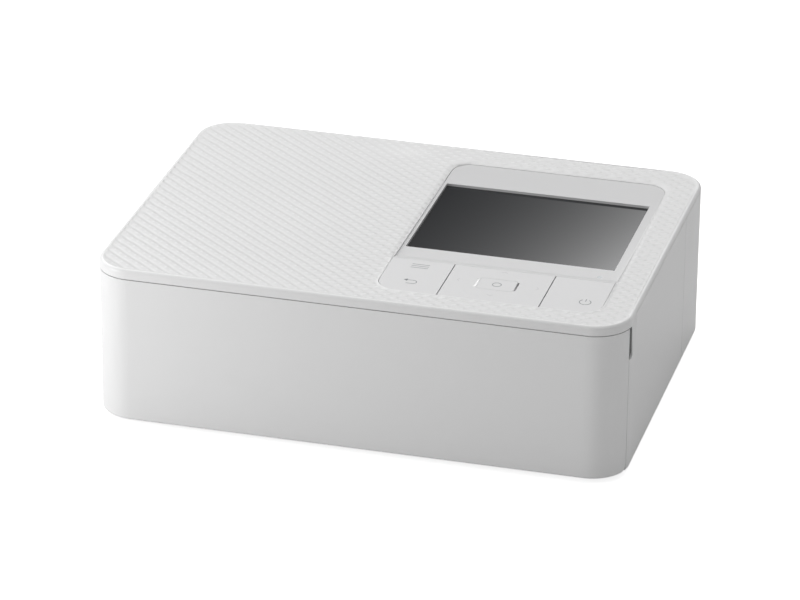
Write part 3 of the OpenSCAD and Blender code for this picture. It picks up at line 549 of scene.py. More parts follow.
@dataclass(frozen=True)
class CircuitBoard(Finish):
    """Lacquered board with tracks under the lacquer."""

    lacquer: Colour = (0.01, 0.09, 0.04)
    pitch: float = 1.27 * MM
    height: float = 18e-6

    def shade(self, graph: Graph) -> None:
        """Builds tracks on a square pitch that come and go in patches.

        Args:
            graph: the graph to fill.
        """
        place = graph.place()
        x, y, _ = graph.along(place)
        patch = graph.noise(place, 90.0, 0.0)
        turn = graph.noise(place, 160.0, 0.0).step(0.49, 0.51)
        across = (x / self.pitch).fraction() * turn + (y / self.pitch).fraction() * (1 - turn)
        track = (across - 0.5).size().step(0.24, 0.18) * patch.step(0.42, 0.46)
        lit = shaded(self.lacquer, 1.9, 0.01)
        graph.surface(
            Base_Color=graph.mix(track, self.lacquer, lit),
            Roughness=patch * 0.1 + 0.28,
            Normal=graph.bump(track, self.height),
        )


@dataclass(frozen=True)
class DyedFilm(Finish):
    """Ribbon film with its bands of dye."""

    colours: tuple[Colour, ...]
    band: float = 9.0 * MM
    rise: float = 0.6
    winding: float = 2500.0
    wrinkle: float = 6e-6

    def shade(self, graph: Graph) -> None:
        """Builds glossy film, banded along its run.

        Args:
            graph: the graph to fill.
        """
        place = graph.place()
        _, y, z = graph.along(place)
        along = ((y + z * self.rise) / self.band).fraction()
        ramp = graph.add("ShaderNodeValToRGB", {"bands": self.colours}, {0: along})
        wound = graph.noise(graph.stretched(place, Lay.WOUND), self.winding, 1.0)
        graph.surface(
            Base_Color=ramp["Color"],
            Roughness=wound * 0.12 + 0.14,
            Normal=graph.bump(wound, self.wrinkle),
        )


@dataclass(frozen=True)
class Ink(Finish):
    """Pad-printed legend."""

    colour: Colour

    def shade(self, graph: Graph) -> None:
        """Builds matt ink with a thin, broken film.

        Args:
            graph: the graph to fill.
        """
        film = graph.noise(graph.place(), 4000.0)
        lighter = shaded(self.colour, 1.12)
        colour = graph.mix(film, self.colour, lighter)
        graph.surface(Base_Color=colour, Roughness=film * 0.1 + 0.5)


@dataclass(frozen=True)
class LightPipe(Finish):
    """Clear moulded light guide, unlit."""

    colour: Colour = (0.62, 0.66, 0.68)

    def shade(self, graph: Graph) -> None:
        """Builds a milky, glossy end.

        Args:
            graph: the graph to fill.
        """
        milk = graph.noise(graph.place(), 1800.0)
        graph.surface(
            Base_Color=graph.mix(milk, self.colour, shaded(self.colour, 0.8)),
            Roughness=milk * 0.05 + 0.12,
        )


CASE_WHITE = MouldedPlastic("case_white", (0.80, 0.80, 0.80), 0.36)
COVER_WHITE = ReliefPlastic("cover_white", (0.79, 0.79, 0.79), 0.32, 3e-6)
PANEL_WHITE = PanelPlastic("panel_white", (0.762, 0.762, 0.766), 0.36, 3e-6)
# glossy white, paler than the keys': painted highlight on the edge of the centre key's pocket
GLOSS_AND_PAINTED_HIGHLIGHT = MouldedPlastic("gloss_and_painted_highlight_white", (0.93, 0.93, 0.93), 0.12, 0.0, coat=1.0)
BASE_GREY = MouldedPlastic("base_grey", (0.58, 0.58, 0.59), 0.5)
# charcoal of the inner parts; on the ink bay bezel's rib in the finger notch it is painted shade, a
# dark piece standing in for the notch's shadow
INNER_CHARCOAL_AND_NOTCH_SHADE = MouldedPlastic("inner_charcoal_and_notch_shade", (0.045, 0.046, 0.048), 0.5, 8e-6, shift=0.1)
FLAP_GREY = MouldedPlastic("flap_grey", (0.13, 0.132, 0.136), 0.48, 8e-6, shift=0.06)
GEAR_PLASTIC = MouldedPlastic("gear_acetal", (0.78, 0.76, 0.70), 0.32, 2e-6)
SPOOL_PLASTIC = MouldedPlastic("spool_white", (0.72, 0.72, 0.71), 0.38, 4e-6)
CASSETTE_PLASTIC = MouldedPlastic("cassette_blue_grey", (0.34, 0.39, 0.46), 0.34, 4e-6)
LEVER_ORANGE = MouldedPlastic("lever_orange", (0.86, 0.27, 0.03), 0.4, 4e-6)
BLACK_PLASTIC = MouldedPlastic("glass_filled_black", (0.022, 0.022, 0.024), 0.45, 10e-6, shift=0.2)
ROLLER_RUBBER = Rubber("roller_rubber", (0.035, 0.035, 0.037), 0.6)
FOOT_RUBBER = Rubber("foot_rubber", (0.045, 0.045, 0.048))
KEY_SILICONE = Rubber("key_silicone", (0.55, 0.55, 0.55), 0.55)
PLATE_STEEL = Metal("zinc_plated_sheet", (0.62, 0.63, 0.65), 0.34)
SHAFT_STEEL = Metal("ground_shaft", (0.66, 0.66, 0.67), 0.2, Lay.TURNED, 2e-6)
MOTOR_STEEL = Metal("motor_can", (0.55, 0.55, 0.56), 0.34)
SINK_ALUMINIUM = Metal("extruded_aluminium", (0.74, 0.74, 0.75), 0.36, marks=8e-6)
BRASS = Metal("pinion_brass", (0.78, 0.58, 0.25), 0.26, Lay.TURNED)
BUSH_BRONZE = Metal("sintered_bush", (0.55, 0.40, 0.22), 0.45, Lay.CAST, 10e-6)
PORT_STEEL = Metal("stamped_shell", (0.60, 0.60, 0.61), 0.3, Lay.GROUND)
SCREW_STEEL = Metal("screw_zinc", (0.52, 0.52, 0.54), 0.34, Lay.CAST)
HEAD_CERAMIC = MouldedPlastic("head_ceramic", (0.56, 0.47, 0.36), 0.18, 2e-6)
DISPLAY_BACK = Metal("display_back", (0.30, 0.31, 0.33), 0.4)
GLASS = DisplayGlass("display_window")
BOARD = CircuitBoard("board_lacquer")
LAMP = LightPipe("light_pipe")
DYES = ((0.86, 0.70, 0.06), (0.72, 0.06, 0.24), (0.03, 0.36, 0.60))
FRESH_FILM = DyedFilm("ribbon_fresh", DYES)
SPENT_FILM = DyedFilm("ribbon_spent", ((0.30, 0.12, 0.18), (0.22, 0.16, 0.24)), 4 * MM)
LEGEND_INK = Ink("legend_ink", (0.30, 0.31, 0.32))
FAINT_INK = Ink("faint_ink", (0.60, 0.60, 0.61))


# mesh helpers
def new_piece(name: str, mesh: bpy.types.Mesh, body: str, finish: Finish) -> bpy.types.Object:
    """Adds a mesh to the scene as a dressed piece of one body.

    Args:
        name: the piece's name.
        mesh: its mesh, in the frame's axes.
        body: the body that it rides on.
        finish: what it is made of.

    Returns:
        The object.
    """
    piece = bpy.data.objects.new(name, mesh)
    bpy.context.scene.collection.objects.link(piece)
    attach(piece, body)
    finish.dress(piece)
    return piece


def meshed(built: bmesh.types.BMesh, name: str) -> bpy.types.Mesh:
    """Turns what was built into a mesh whose faces look outwards.

    Args:
        built: what was built.
        name: the mesh's name.

    Returns:
        The mesh.
    """
    bmesh.ops.recalc_face_normals(built, faces=built.faces)
    mesh = bpy.data.meshes.new(name)
    built.to_mesh(mesh)
    built.free()
    return mesh


def loft(
    built: bmesh.types.BMesh, rings: Sequence[Sequence[Point3]], closed: bool = False
) -> None:
    """Joins rings of points into a skin.

    Args:
        built: the mesh under construction.
        rings: the rings in order.
        closed: whether the last ring meets the first; both are capped if not.
    """
    made = [[built.verts.new(point) for point in ring] for ring in rings]
    if closed:
        made.append(made[0])
    else:
        built.faces.new(made[0][::-1])
        built.faces.new(made[-1])
    for here, there in zip(made, made[1:]):
        for i in range(len(here)):
            built.faces.new((here[i - 1], here[i], there[i], there[i - 1]))


def smooth(mesh: bpy.types.Mesh, angle: float = 30.0) -> None:
    """Shades a mesh smooth, apart from its sharp edges.

    Args:
        mesh: the mesh.
        angle: turn from which an edge stays sharp, in degrees.
    """
    for face in mesh.polygons:
        face.use_smooth = True
    mesh.set_sharp_from_angle(angle=math.radians(angle))


def ribbon(points: Outline, width: float, closed: bool = False) -> tuple[Outline, Outline]:
    """Finds both edges of a stroke with mitred corners.

    Args:
        points: the stroke's middle line.
        width: its width.
        closed: whether its end meets its start.

    Returns:
        The left edge and the right edge.
    """
    line = [Vector(p) for p in points]
    left, right = [], []
    for i, here in enumerate(line):
        before = line[i - 1] if i or closed else here * 2 - line[1]
        last = i + 1 == len(line) and not closed
        after = here * 2 - line[i - 1] if last else line[(i + 1) % len(line)]
        arrive, leave = (here - before).normalized(), (after - here).normalized()
        normal = (Vector((-arrive.y, arrive.x)) + Vector((-leave.y, leave.x))).normalized()
        reach = width / 2 / max(0.4, normal.dot(Vector((-leave.y, leave.x))))
        left.append(tuple(here + normal * reach))
        right.append(tuple(here - normal * reach))
    return left, right


@dataclass(frozen=True)
class Glyph:
    """A legend: strokes and filled shapes round its own middle, in metres."""

    strokes: tuple[tuple[Outline, bool], ...] = ()
    fills: tuple[Outline, ...] = ()
    line: float = 0.3 * MM
    film: float = 0.02 * MM

    def mesh(self, name: str, middle: Vector) -> bpy.types.Mesh:
        """Builds the legend as a thin film of ink that lies flat.

        Args:
            name: the mesh's name.
            middle: where its middle goes, on the surface that it is printed on.

        Returns:
            The mesh.
        """
        built = bmesh.new()
        for points, closed in self.strokes:
            edges = zip(*ribbon(points, self.line, closed))
            rings = [((*l, 0.0), (*r, 0.0), (*r, self.film), (*l, self.film)) for l, r in edges]
            loft(built, rings, closed)
        for points in self.fills:
            loft(built, [[(*point, z) for point in points] for z in (0.0, self.film)])
        bmesh.ops.translate(built, verts=built.verts, vec=middle)
        return meshed(built, name)


def arc(radius: float, start: float, end: float, count: int = 24) -> list[Point]:
    """Points along an arc round the origin.

    Args:
        radius: its radius.
        start: the angle it starts at, in degrees from +X.
        end: the angle it ends at.
        count: steps along it.

    Returns:
        The points.
    """
    turns = np.radians(np.linspace(start, end, count + 1))
    return [(radius * math.cos(t), radius * math.sin(t)) for t in turns]


def drawn(*points: Point) -> Outline:
    """Returns points that are given in millimetres, in metres."""
    return [(x * MM, y * MM) for x, y in points]


def eased(share: np.ndarray | float) -> np.ndarray | float:
    """Returns a share kept within 0 and 1, with a gentle start and end."""
    held = np.clip(share, 0, 1)
    return held * held * (3 - 2 * held)


# sub-assemblies
Wears = tuple[tuple[Finish, tuple[str, ...]], ...]


@dataclass
class SubAssembly:
    """A group of pieces that belong together, and what they wear."""

    nodes: dict[str, bpy.types.Object]
    wears: Wears = ()

    def build(self) -> None:
        """Dresses the group's nodes."""
        for finish, names in self.wears:
            for name in names:
                finish.dress(self.nodes[name])
                LOG.info("dressed %s in %s", name, finish.name)


@dataclass(frozen=True)
class Rims:
    """The lines that bound a flat face: their points, and the pairs that are joined."""

    points: np.ndarray
    edges: Sequence[tuple[int, int]]

    def inner(self) -> set[int]:
        """Finds the rim of the opening in the face.

        Returns:
            The places of its points in the list.
        """
        joined: dict[int, list[int]] = {}
        for a, b in self.edges:
            joined.setdefault(a, []).append(b)
            joined.setdefault(b, []).append(a)
        outer, ahead = set(), [int(self.points[:, 0].argmax())]
        while ahead:
            here = ahead.pop()
            if here not in outer:
                outer.add(here)
                ahead += joined[here]
        return set(joined) - outer

    def distance(self, places: np.ndarray) -> np.ndarray:
        """Measures how far places are from the nearest rim.

        Args:
            places: the places.

        Returns:
            The distances.
        """
        best = np.full(len(places), np.inf)
        for a, b in self.edges:
            start, run = self.points[a], self.points[b] - self.points[a]
            share = np.clip((places - start) @ run / (run @ run), 0, 1)
            gap = places - (start + share[:, None] * run)
            best = np.minimum(best, np.hypot(*gap.T))
        return best

    def inside(self, places: np.ndarray) -> np.ndarray:
        """Tells which places lie on the face between the rims.

        Args:
            places: the places.

        Returns:
            True where a place is on the face.
        """
        x, y = places.T
        crossings = np.zeros(len(places), int)
        for a, b in self.edges:
            (x0, y0), (x1, y1) = self.points[a], self.points[b]
            if y0 != y1:
                spans = (y >= min(y0, y1)) & (y < max(y0, y1))
                crossings += spans & (x0 + (y - y0) * (x1 - x0) / (y1 - y0) > x)
        return crossings % 2 == 1


@dataclass(frozen=True)
class Ripple:
    """Waves along one axis that wander with the other, in radians to the unit."""

    height: float
    waves: float
    wander: float
    across_waves: float

    def at(self, along: np.ndarray, across: np.ndarray) -> np.ndarray:
        """Returns the waves' height at places along and across them."""
        wander = self.wander * np.sin(across * self.across_waves)
        return self.height * np.sin(along * self.waves + wander)


@dataclass
class TopCover(SubAssembly):
    """The top shell, whose face outside the panel carries a low, woven relief."""

    pitch_x: float = 5.13 * MM
    pitch_y: float = 4.27 * MM
    depth: float = 0.28 * MM
    sway_x: Ripple = Ripple(0.16, 330.0, 3.0, 215.0)
    sway_y: Ripple = Ripple(0.14, 410.0, 2.0, 260.0)
    patch: Ripple = Ripple(0.25, 0.5, 2.0, 83.0)
    patch_rows: float = 140.0
    groove_power: int = 3
    pip: float = 0.45
    pip_shift: float = 0.7
    pip_power: int = 5
    dash_length: float = 2.0 * MM
    dash_sway: float = 0.4 * MM
    dash_front: float = 0.42 * MM
    dash_back: float = 0.75 * MM
    break_up: float = 0.95
    break_start: float = -35.0 * MM
    break_run: float = 45.0 * MM
    calm: Point = (-12 * MM, 57 * MM)
    calm_reach: Point = (24 * MM, 13 * MM)
    calm_share: float = 0.75
    spacing: float = 0.42 * MM
    row_share: float = 0.9
    clear_share: float = 0.6
    upright: float = 0.99
    weld: float = 0.2e-6
    merge: float = 0.1e-6
    level: float = 2e-6
    rim: float = 1.0 * MM
    roll: float = 2.1 * MM
    roll_run: float = 4.0 * MM
    sill: float = 0.12 * MM

    def build(self) -> None:
        """Builds the cover's shell with its relief and hides the plain node."""
        mesh = self.nodes["top_cover"].data.copy()
        mesh.name = "textured_cover"
        built = bmesh.new()
        built.from_mesh(mesh)
        bmesh.ops.remove_doubles(built, verts=built.verts, dist=self.weld)
        self._lay_relief(built)
        built.to_mesh(mesh)
        built.free()
        smooth(mesh, 35.0)
        cover = new_piece("textured_cover", mesh, "printer", COVER_WHITE)
        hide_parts("top_cover")
        LOG.info("built textured_cover with %d faces", len(mesh.polygons))

    def _lay_relief(self, built: bmesh.types.BMesh) -> None:
        """Swaps the flat top for a fine net that carries the relief.

        Args:
            built: the cover's mesh.
        """
        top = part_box("top_cover")[1].z
        up = [f for f in built.faces if f.normal.z > self.upright]
        flat = [f for f in up if all(abs(v.co.z - top) < self.level for v in f.verts)]
        inside = set(flat)
        rim_edges = [e for e in built.edges if sum(f in inside for f in e.link_faces) == 1]
        rim_verts = sorted({v for e in rim_edges for v in e.verts}, key=lambda v: v.index)
        place = {v: i for i, v in enumerate(rim_verts)}
        edges = [(place[e.verts[0]], place[e.verts[1]]) for e in rim_edges]
        rims = Rims(np.array([v.co[:2] for v in rim_verts]), edges)
        grid, drop = self._net(rims)
        points = [Vector(p) for p in (*rims.points, *grid)]
        co, _, faces, origin, *_ = geometry.delaunay_2d_cdt(points, edges, [], 0, self.merge, True)
        bmesh.ops.delete(built, geom=flat, context="FACES_ONLY")
        for i in rims.inner():
            rim_verts[i].co.z -= self._dip(rims.points[i][1], 0.0)
        made = []
        for p, (first, *_) in zip(co, origin):
            if first < len(rim_verts):
                made.append(rim_verts[first])
            else:
                made.append(built.verts.new((p.x, p.y, top - drop[first - len(rim_verts)])))
        middles = np.array([p[:] for p in co])[np.array(faces)].mean(1)
        for face, kept in zip(faces, rims.inside(middles)):
            if kept:
                built.faces.new([made[i] for i in face])

    def _net(self, rims: Rims) -> tuple[np.ndarray, np.ndarray]:
        """Spreads places over the face, clear of its rims.

        Args:
            rims: the face's rims.

        Returns:
            The places, and the depth of each below the top.
        """
        low, high = rims.points.min(0), rims.points.max(0)
        xs = np.arange(low[0], high[0], self.spacing)
        ys = np.arange(low[1], high[1], self.spacing * self.row_share)
        grid = np.array([(x + i % 2 * self.spacing / 2, y) for i, y in enumerate(ys) for x in xs])
        away = rims.distance(grid)
        held = rims.inside(grid) & (away > self.spacing * self.clear_share)
        grid, away = grid[held], away[held]
        inner = rims.inner()
        panel = Rims(rims.points, [e for e in rims.edges if e[0] in inner])
        dip = self._dip(grid[:, 1], panel.distance(grid))
        return grid, self._relief(*grid.T) * eased(away / self.rim) + dip

    def _relief(self, x: np.ndarray, y: np.ndarray) -> np.ndarray:
        """Depth of the woven relief below the top.

        On the left narrow grooves run between broad ribs with a pip at each crossing; towards the
        panel these break up into short raised dashes.

        Args:
            x: places from left to right.
            y: places from front to back.

        Returns:
            The depth at each place, from 0 to about the full depth.
        """
        sway = self.sway_x.at(x, y) + self.sway_y.at(y, x)
        rib = 2 * np.pi * (x / self.pitch_x + y / self.pitch_y) + sway
        across = 2 * np.pi * (x / self.pitch_x - y / self.pitch_y) - sway
        groove = (0.5 - 0.5 * np.cos(rib)) ** self.groove_power
        patchy = self.patch.at(across, x) * np.sin(y * self.patch_rows + 1)
        patchy += 1 - self.patch.height
        pip = np.clip(0.5 * (np.cos(rib - self.pip_shift) + np.cos(across)), 0, 1) ** self.pip_power
        ribs = 1 - self.pip - (1 - self.pip) * groove * patchy + self.pip * pip
        dash = np.zeros_like(x)
        for shift in (0.0, 0.5):
            dx = ((x + sway * self.dash_sway) / self.pitch_x + shift + 0.5) % 1 - 0.5
            dy = (y / self.pitch_y + shift + 0.5) % 1 - 0.5
            along = dx * self.pitch_x / (0.5 * self.dash_length)
            over = dy * self.pitch_y / np.where(dy < 0, self.dash_front, self.dash_back)
            dash = np.maximum(dash, np.exp(-(along**4) - over**2))
        share = self.break_up * eased((x - self.break_start) / self.break_run)
        lift = (1 - share) * ribs + share * dash
        far = ((x - self.calm[0]) / self.calm_reach[0]) ** 2
        far += ((y - self.calm[1]) / self.calm_reach[1]) ** 2
        return self.depth * (1 - lift) * (1 - self.calm_share * np.exp(-far))

    def _dip(self, y: np.ndarray | float, away: np.ndarray | float) -> np.ndarray | float:
        """Depth by which the face rolls down to the sunk bezel.

        Args:
            y: places from front to back.
            away: their distance from the panel's rim.

        Returns:
            The depth.
        """
        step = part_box("top_cover")[1].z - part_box("status_lamp")[1].z - self.sill
        rear = eased((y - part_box("power_key")[1].y) / self.roll_run)
        return step * rear * np.clip(1 - away / self.roll, 0, 1) ** 2


@dataclass
class ControlPanel(SubAssembly):
    """The panel with its display window, keys, lamp and legends."""

    line: float = 0.3 * MM
    pointer_line: float = 0.22 * MM
    edge_length: float = 6.6 * MM
    edge_width: float = 1.1 * MM
    flange: float = 1.45 * MM
    edge_lift: float = 0.09 * MM
    edge_power: int = 6
    edge_points: int = 9
    edge_rings: int = 13
    gap: float = 0.12 * MM
    play: float = 0.01 * MM
    key_play: float = 0.05 * MM
    corner: float = 7.0 * MM
    liner_depth: float = 1.0 * MM

    wears: Wears = (
        (PANEL_WHITE, ("control_panel", "menu_back_key", "navigation_key", "ok_key", "power_key")),
        (GLASS, ("lcd_window",)),
        (DISPLAY_BACK, ("lcd_module",)),
        (KEY_SILICONE, ("key_mat",)),
        (BOARD, ("key_board",)),
        (LAMP, ("status_lamp",)),
    )

    def build(self) -> None:
        """Dresses the panel, prints its legends and adds its edge and liners."""
        super().build()
        self._print("menu_bars", self._bars(), "menu_back_key", (-27.4, -36.0))
        self._print("back_arrow", self._return_arrow(), "menu_back_key", (-27.5, -48.3))
        self._print("power_mark", self._power(), "power_key", (31.6, -48.3))
        self._print("select_ring", self._ring(), "ok_key", (0.6, -43.1))
        for name, turn, place in (
            ("mark_left", 180.0, (-12.6, -42.6)),
            ("mark_right", 0.0, (14.2, -42.6)),
            ("mark_up", 90.0, (0.9, -33.2)),
            ("mark_down", 270.0, (0.3, -51.6)),
        ):
            self._print(name, self._chevron(turn), "navigation_key", place, FAINT_INK)
        self._raise_edge()
        self._line_gaps()

    def _print(
        self, name: str, glyph: Glyph, key: str, place: Point, ink: Ink = LEGEND_INK
    ) -> None:
        """Prints a legend on a key.

        Args:
            name: the legend's name.
            glyph: its shape.
            key: the key's node, which is also its body.
            place: its middle in millimetres, X from the panel's middle and Y in the frame.
            ink: what it is printed in.
        """
        low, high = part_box("control_panel")
        middle = Vector(((low.x + high.x) / 2 + place[0] * MM, place[1] * MM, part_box(key)[1].z))
        new_piece(name, glyph.mesh(name, middle), key, ink)
        LOG.info("printed %s on %s", name, key)

    def _raise_edge(self) -> None:
        """Gives the pocket round the centre key its glossy, rounded left edge, coloured paler as a
        painted highlight.
        """
        low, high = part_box("ok_key")
        half, middle = self.edge_length / 2, (low.y + high.y) / 2
        left = low.x + self.flange - self.edge_width
        turns = np.linspace(0, math.pi, self.edge_points)
        rings = []
        for share in np.linspace(-1, 1, self.edge_rings):
            lift = self.edge_lift * math.sqrt(1 - abs(share) ** self.edge_power)
            spans = ((0.5 - 0.5 * math.cos(t), math.sin(t)) for t in turns)
            y = middle + half * share
            rings.append([(left + self.edge_width * u, y, high.z + lift * v) for u, v in spans])
        built = bmesh.new()
        loft(built, rings)
        mesh = meshed(built, "pocket_edge")
        smooth(mesh, 60.0)
        # painted highlight: the edge is coloured paler than the keys' white
        new_piece("pocket_edge", mesh, "navigation_key", GLOSS_AND_PAINTED_HIGHLIGHT)
        LOG.info("raised the edge of the centre key's pocket")

    def _line_gaps(self) -> None:
        """Lines the gaps beside the left key and beside the bezel up to their faces."""
        low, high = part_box("menu_back_key")
        bezel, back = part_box("status_lamp")[1].z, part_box("lcd_window")[1].y
        width = self.gap - 2 * self.play
        left = low.x - self.play - width
        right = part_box("power_key")[1].x + self.key_play + self.play
        strips = {
            "key_liner": (left, low.y + self.corner, high.y - self.gap, high.z - self.play),
            "left_liner": (left - self.key_play, high.y, back, bezel),
            "right_liner": (right, high.y, back, bezel),
        }
        for name, (x, front, rear, top) in strips.items():
            corners = ((x, front), (x + width, front), (x + width, rear), (x, rear))
            strip = Glyph(fills=(corners,), film=self.liner_depth)
            mesh = strip.mesh(name, Vector((0, 0, top - self.liner_depth)))
            new_piece(name, mesh, "printer", PANEL_WHITE)

    def _bars(self) -> Glyph:
        """Returns three bars, for a menu."""
        bars = tuple((drawn((-3.0, y), (3.0, y)), False) for y in (-1.3, 0.0, 1.3))
        return Glyph(bars, line=self.line)

    def _chevron(self, turn: float) -> Glyph:
        """Builds a small pointer.

        Args:
            turn: the way it points, in degrees from +X.

        Returns:
            The pointer.
        """
        c, s = math.cos(math.radians(turn)), math.sin(math.radians(turn))
        ends = drawn((-0.35, 1.0), (0.35, 0.0), (-0.35, -1.0))
        points = [(x * c - y * s, x * s + y * c) for x, y in ends]
        return Glyph(((points, False),), line=self.pointer_line)

    def _return_arrow(self) -> Glyph:
        """Builds an arrow that turns back to the left.

        Returns:
            The arrow.
        """
        bend = [(0.9 * MM + x, -0.35 * MM + y) for x, y in arc(1.25 * MM, 80, -90, 12)]
        hook = [*drawn((-1.9, 0.9), (0.9, 0.9)), *bend, *drawn((-1.2, -1.6))]
        head = drawn((-2.6, 0.9), (-1.2, 0.0), (-1.2, 1.8))
        return Glyph(((hook, False),), (head,), self.line)

    def _power(self) -> Glyph:
        """Returns the usual broken ring and bar."""
        ring, bar = arc(1.9 * MM, 125, 415, 36), drawn((0.0, 0.5), (0.0, 2.3))
        return Glyph(((ring, False), (bar, False)), line=self.line)

    def _ring(self) -> Glyph:
        """Returns a plain ring, for choosing."""
        return Glyph(((arc(1.45 * MM, 0, 350, 35), True),), line=self.line)


@dataclass
class Case(SubAssembly):
    """The shells and covers, and what stands under them."""

    wears: Wears = (
        (CASE_WHITE, ("side_case", "front_cover", "ink_cover")),
        (BASE_GREY, ("bottom_case",)),
        # the ink bay bezel's charcoal rib that fills the finger notch is painted shade, a dark
        # piece standing in for the notch's shadow
        (INNER_CHARCOAL_AND_NOTCH_SHADE, ("front_frame", "ink_bay_bezel", "rear_paper_guide")),
        (FLAP_GREY, ("slot_flap",)),
        (FOOT_RUBBER, ("rubber_feet",)),
        (SCREW_STEEL, ("case_screws",)),
    )


@dataclass
class Mechanism(SubAssembly):
    """The chassis, rollers, head and gear train."""

    wears: Wears = (
        (PLATE_STEEL, ("left_side_plate", "right_side_plate", "motor_bracket")),
        (SHAFT_STEEL, ("chassis_rods", "capstan_roller", "pinch_roller", "gear_studs")),
        (ROLLER_RUBBER, ("platen_roller", "pickup_roller")),
        (BUSH_BRONZE, ("roller_bushes",)),
        (HEAD_CERAMIC, ("thermal_head",)),
        (SINK_ALUMINIUM, ("head_heat_sink",)),
        (MOTOR_STEEL, ("drive_motor",)),
        (BRASS, ("motor_pinion",)),
        (GEAR_PLASTIC, ("reduction_gear", "capstan_gear", "front_idler_gear")),
        (GEAR_PLASTIC, ("rear_idler_gear", "ribbon_drive_gear")),
    )


@dataclass
class InkCassette(SubAssembly):
    """The ribbon's cassette and the lever that frees it."""

    wears: Wears = (
        (CASSETTE_PLASTIC, ("ink_cassette",)),
        (SPOOL_PLASTIC, ("supply_spool", "take_up_spool")),
        (FRESH_FILM, ("supply_ribbon", "ribbon_span")),
        (SPENT_FILM, ("take_up_ribbon",)),
        (LEVER_ORANGE, ("eject_lever",)),
    )


@dataclass
class Electronics(SubAssembly):
    """The board, its sockets and the fan."""

    wears: Wears = (
        (BOARD, ("main_board",)),
        (PORT_STEEL, ("card_slot", "usb_port")),
        (BLACK_PLASTIC, ("dc_inlet", "fan_frame", "fan_rotor")),
    )


# studio
@dataclass(frozen=True)
class Lamp:
    """One soft lamp of the studio."""

    name: str
    place: Point3
    aim: Point3
    width: float
    power: float
    height: float | None = None

    def hang(self) -> None:
        """Adds the lamp to the scene."""
        data = bpy.data.lights.new(self.name, "AREA")
        data.shape = "RECTANGLE"
        data.size = self.width
        data.size_y = self.height or self.width
        data.energy = self.power
        lamp = bpy.data.objects.new(self.name, data)
        lamp.location = self.place
        lamp.rotation_mode = "QUATERNION"
        back = Vector(self.place) - Vector(self.aim)
        lamp.rotation_quaternion = back.to_track_quat("Z", "Y")
        lamp.visible_camera = False
        bpy.context.scene.collection.objects.link(lamp)


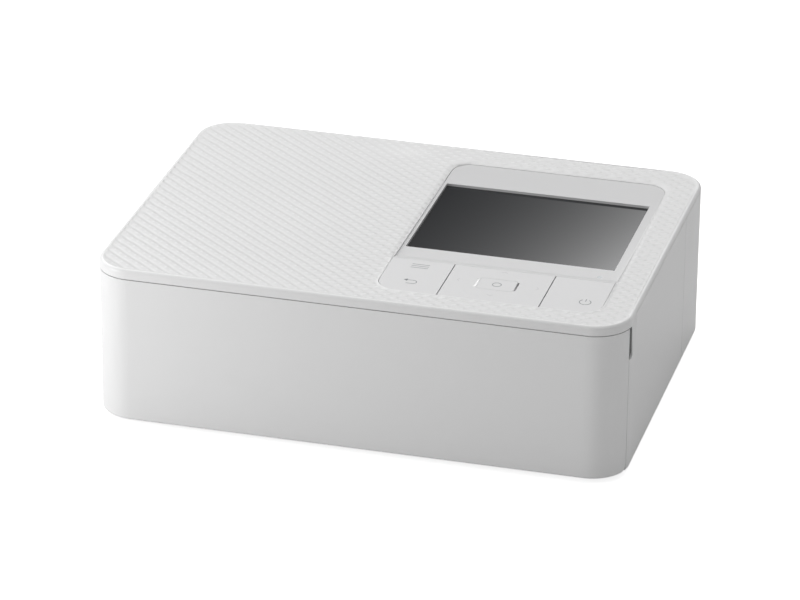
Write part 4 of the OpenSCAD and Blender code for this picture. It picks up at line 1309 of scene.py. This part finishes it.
@dataclass
class Studio:
    """Floor, mirrored card, lamps and camera."""

    azimuth: float = 15.004
    elevation: float = 25.035
    roll: float = 0.458
    lens: float = 194.77
    place: Point3 = (0.34675, -1.30100, 0.65592)
    card: tuple[float, ...] = (-0.46, -0.16, 0.62, 0.86)
    card_y: float = 1.5
    card_level: float = -8.26
    card_x_rise: float = 14.73
    card_z_rise: float = 16.7
    card_growth: float = 2.718
    card_peak: float = 3.0
    surround: float = 0.37
    floor_reach: float = 3.0
    floor_white: Colour = (0.82, 0.82, 0.82)
    floor_glow: float = 0.8
    sensor: float = 36.0
    clip: Point = (0.05, 20.0)
    lamps: tuple[Lamp, ...] = (
        Lamp("overhead", (0.0, 0.1, 1.8), (0.0, 0.0, 0.03), 1.4, 9.0),
        Lamp("back_bank", (0.0, 1.5, 1.2), (0.0, 0.0, 0.03), 1.2, 4.2, 0.8),
        Lamp("back_left", (-1.0, 1.0, 1.1), (0.0, 0.0, 0.03), 0.8, 4.35),
        Lamp("near_left", (-0.32, -0.25, 0.12), (-0.09, -0.05, 0.03), 0.15, 0.54, 0.12),
        Lamp("left_above", (-0.45, 0.25, 0.5), (-0.03, 0.0, 0.05), 0.4, 0.85),
    )

    def build(self) -> None:
        """Sets the studio up."""
        scene = bpy.context.scene
        scene.view_settings.view_transform = "Standard"
        self._world()
        self._floor()
        self._card()
        for lamp in self.lamps:
            lamp.hang()
        self._camera()
        LOG.info("set up %d lamps, floor, card and camera", len(self.lamps))

    def _world(self) -> None:
        """Gives an even, soft surround that shows white behind the object."""
        world = bpy.data.worlds.new("surround")
        world.use_nodes = True
        bpy.context.scene.world = world
        graph = Graph(world.node_tree)
        even, white = (
            graph.add("ShaderNodeBackground", {}, {"Color": WHITE, "Strength": strength})[0]
            for strength in (self.surround, 1.0)
        )
        shown = graph.by_ray("Is Camera Ray", even, white)
        graph.add("ShaderNodeOutputWorld", {}, {"Surface": shown})

    def _floor(self) -> None:
        """Lays a pale floor that keeps the object's shadow."""
        reach, pale = self.floor_reach, (*self.floor_white, 1.0)
        corners = [(x * reach, y * reach, 0.0) for x, y in ((-1, -1), (1, -1), (1, 1), (-1, 1))]
        _, graph = self._sheet("floor", corners)
        plain = graph.add("ShaderNodeBsdfDiffuse", {}, {"Color": pale})[0]
        lit = graph.add("ShaderNodeEmission", {}, {"Color": WHITE, "Strength": self.floor_glow})[0]
        shown = graph.add("ShaderNodeAddShader", {}, {0: plain, 1: lit})[0]
        graph.output(graph.by_ray("Is Camera Ray", plain, shown))

    def _card(self) -> None:
        """Hangs the card that the display window mirrors, brighter up and to the right."""
        left, right, low, high = self.card
        back = self.card_y
        corners = [(left, back, low), (right, back, low), (right, back, high), (left, back, high)]
        card, graph = self._sheet("mirrored_card", corners)
        x, _, z = graph.along(graph.place())
        rise = x * self.card_x_rise + z * self.card_z_rise + self.card_level
        glow = (self.card_growth**rise).capped(self.card_peak)
        shine = graph.add("ShaderNodeEmission", {}, {"Color": WHITE, "Strength": glow})[0]
        clear = graph.add("ShaderNodeBsdfTransparent")[0]
        graph.output(graph.by_ray("Is Glossy Ray", clear, shine))
        card.visible_shadow = card.visible_diffuse = False

    @staticmethod
    def _sheet(name: str, corners: Sequence[Point3]) -> tuple[bpy.types.Object, Graph]:
        """Adds one flat sheet of the stage.

        Args:
            name: its name.
            corners: its corners in order.

        Returns:
            The object, and the graph of its material.
        """
        mesh = bpy.data.meshes.new(name)
        mesh.from_pydata(corners, [], [tuple(range(len(corners)))])
        material = bpy.data.materials.new(name)
        material.use_nodes = True
        mesh.materials.append(material)
        sheet = bpy.data.objects.new(name, mesh)
        bpy.context.scene.collection.objects.link(sheet)
        return sheet, Graph(material.node_tree)

    def _camera(self) -> None:
        """Places the camera where the photograph was taken from."""
        a, e, r = (math.radians(v) for v in (self.azimuth, self.elevation, self.roll))
        back = Vector((math.sin(a) * math.cos(e), -math.cos(a) * math.cos(e), math.sin(e)))
        right = Vector((math.cos(a), math.sin(a), 0.0))
        up = back.cross(right)
        turned = right * math.cos(r) + up * math.sin(r)
        upright = up * math.cos(r) - right * math.sin(r)
        data = bpy.data.cameras.new("camera")
        data.lens = self.lens
        data.sensor_width = self.sensor
        data.sensor_fit = "HORIZONTAL"
        data.clip_start, data.clip_end = self.clip
        camera = bpy.data.objects.new("camera", data)
        turn = Matrix((turned, upright, back)).transposed().to_4x4()
        camera.matrix_world = Matrix.Translation(self.place) @ turn
        bpy.context.scene.collection.objects.link(camera)
        bpy.context.scene.camera = camera


def main() -> None:
    """Builds every sub-assembly in order and reports it."""
    logging.basicConfig(level=logging.INFO, format="%(name)s: %(message)s")
    nodes = frame["nodes"]
    for group in (TopCover, ControlPanel, Case, Mechanism, InkCassette, Electronics):
        group(nodes).build()
        LOG.info("finished %s", group.__name__)
    Studio().build()


if __name__ == "__main__":
    main()
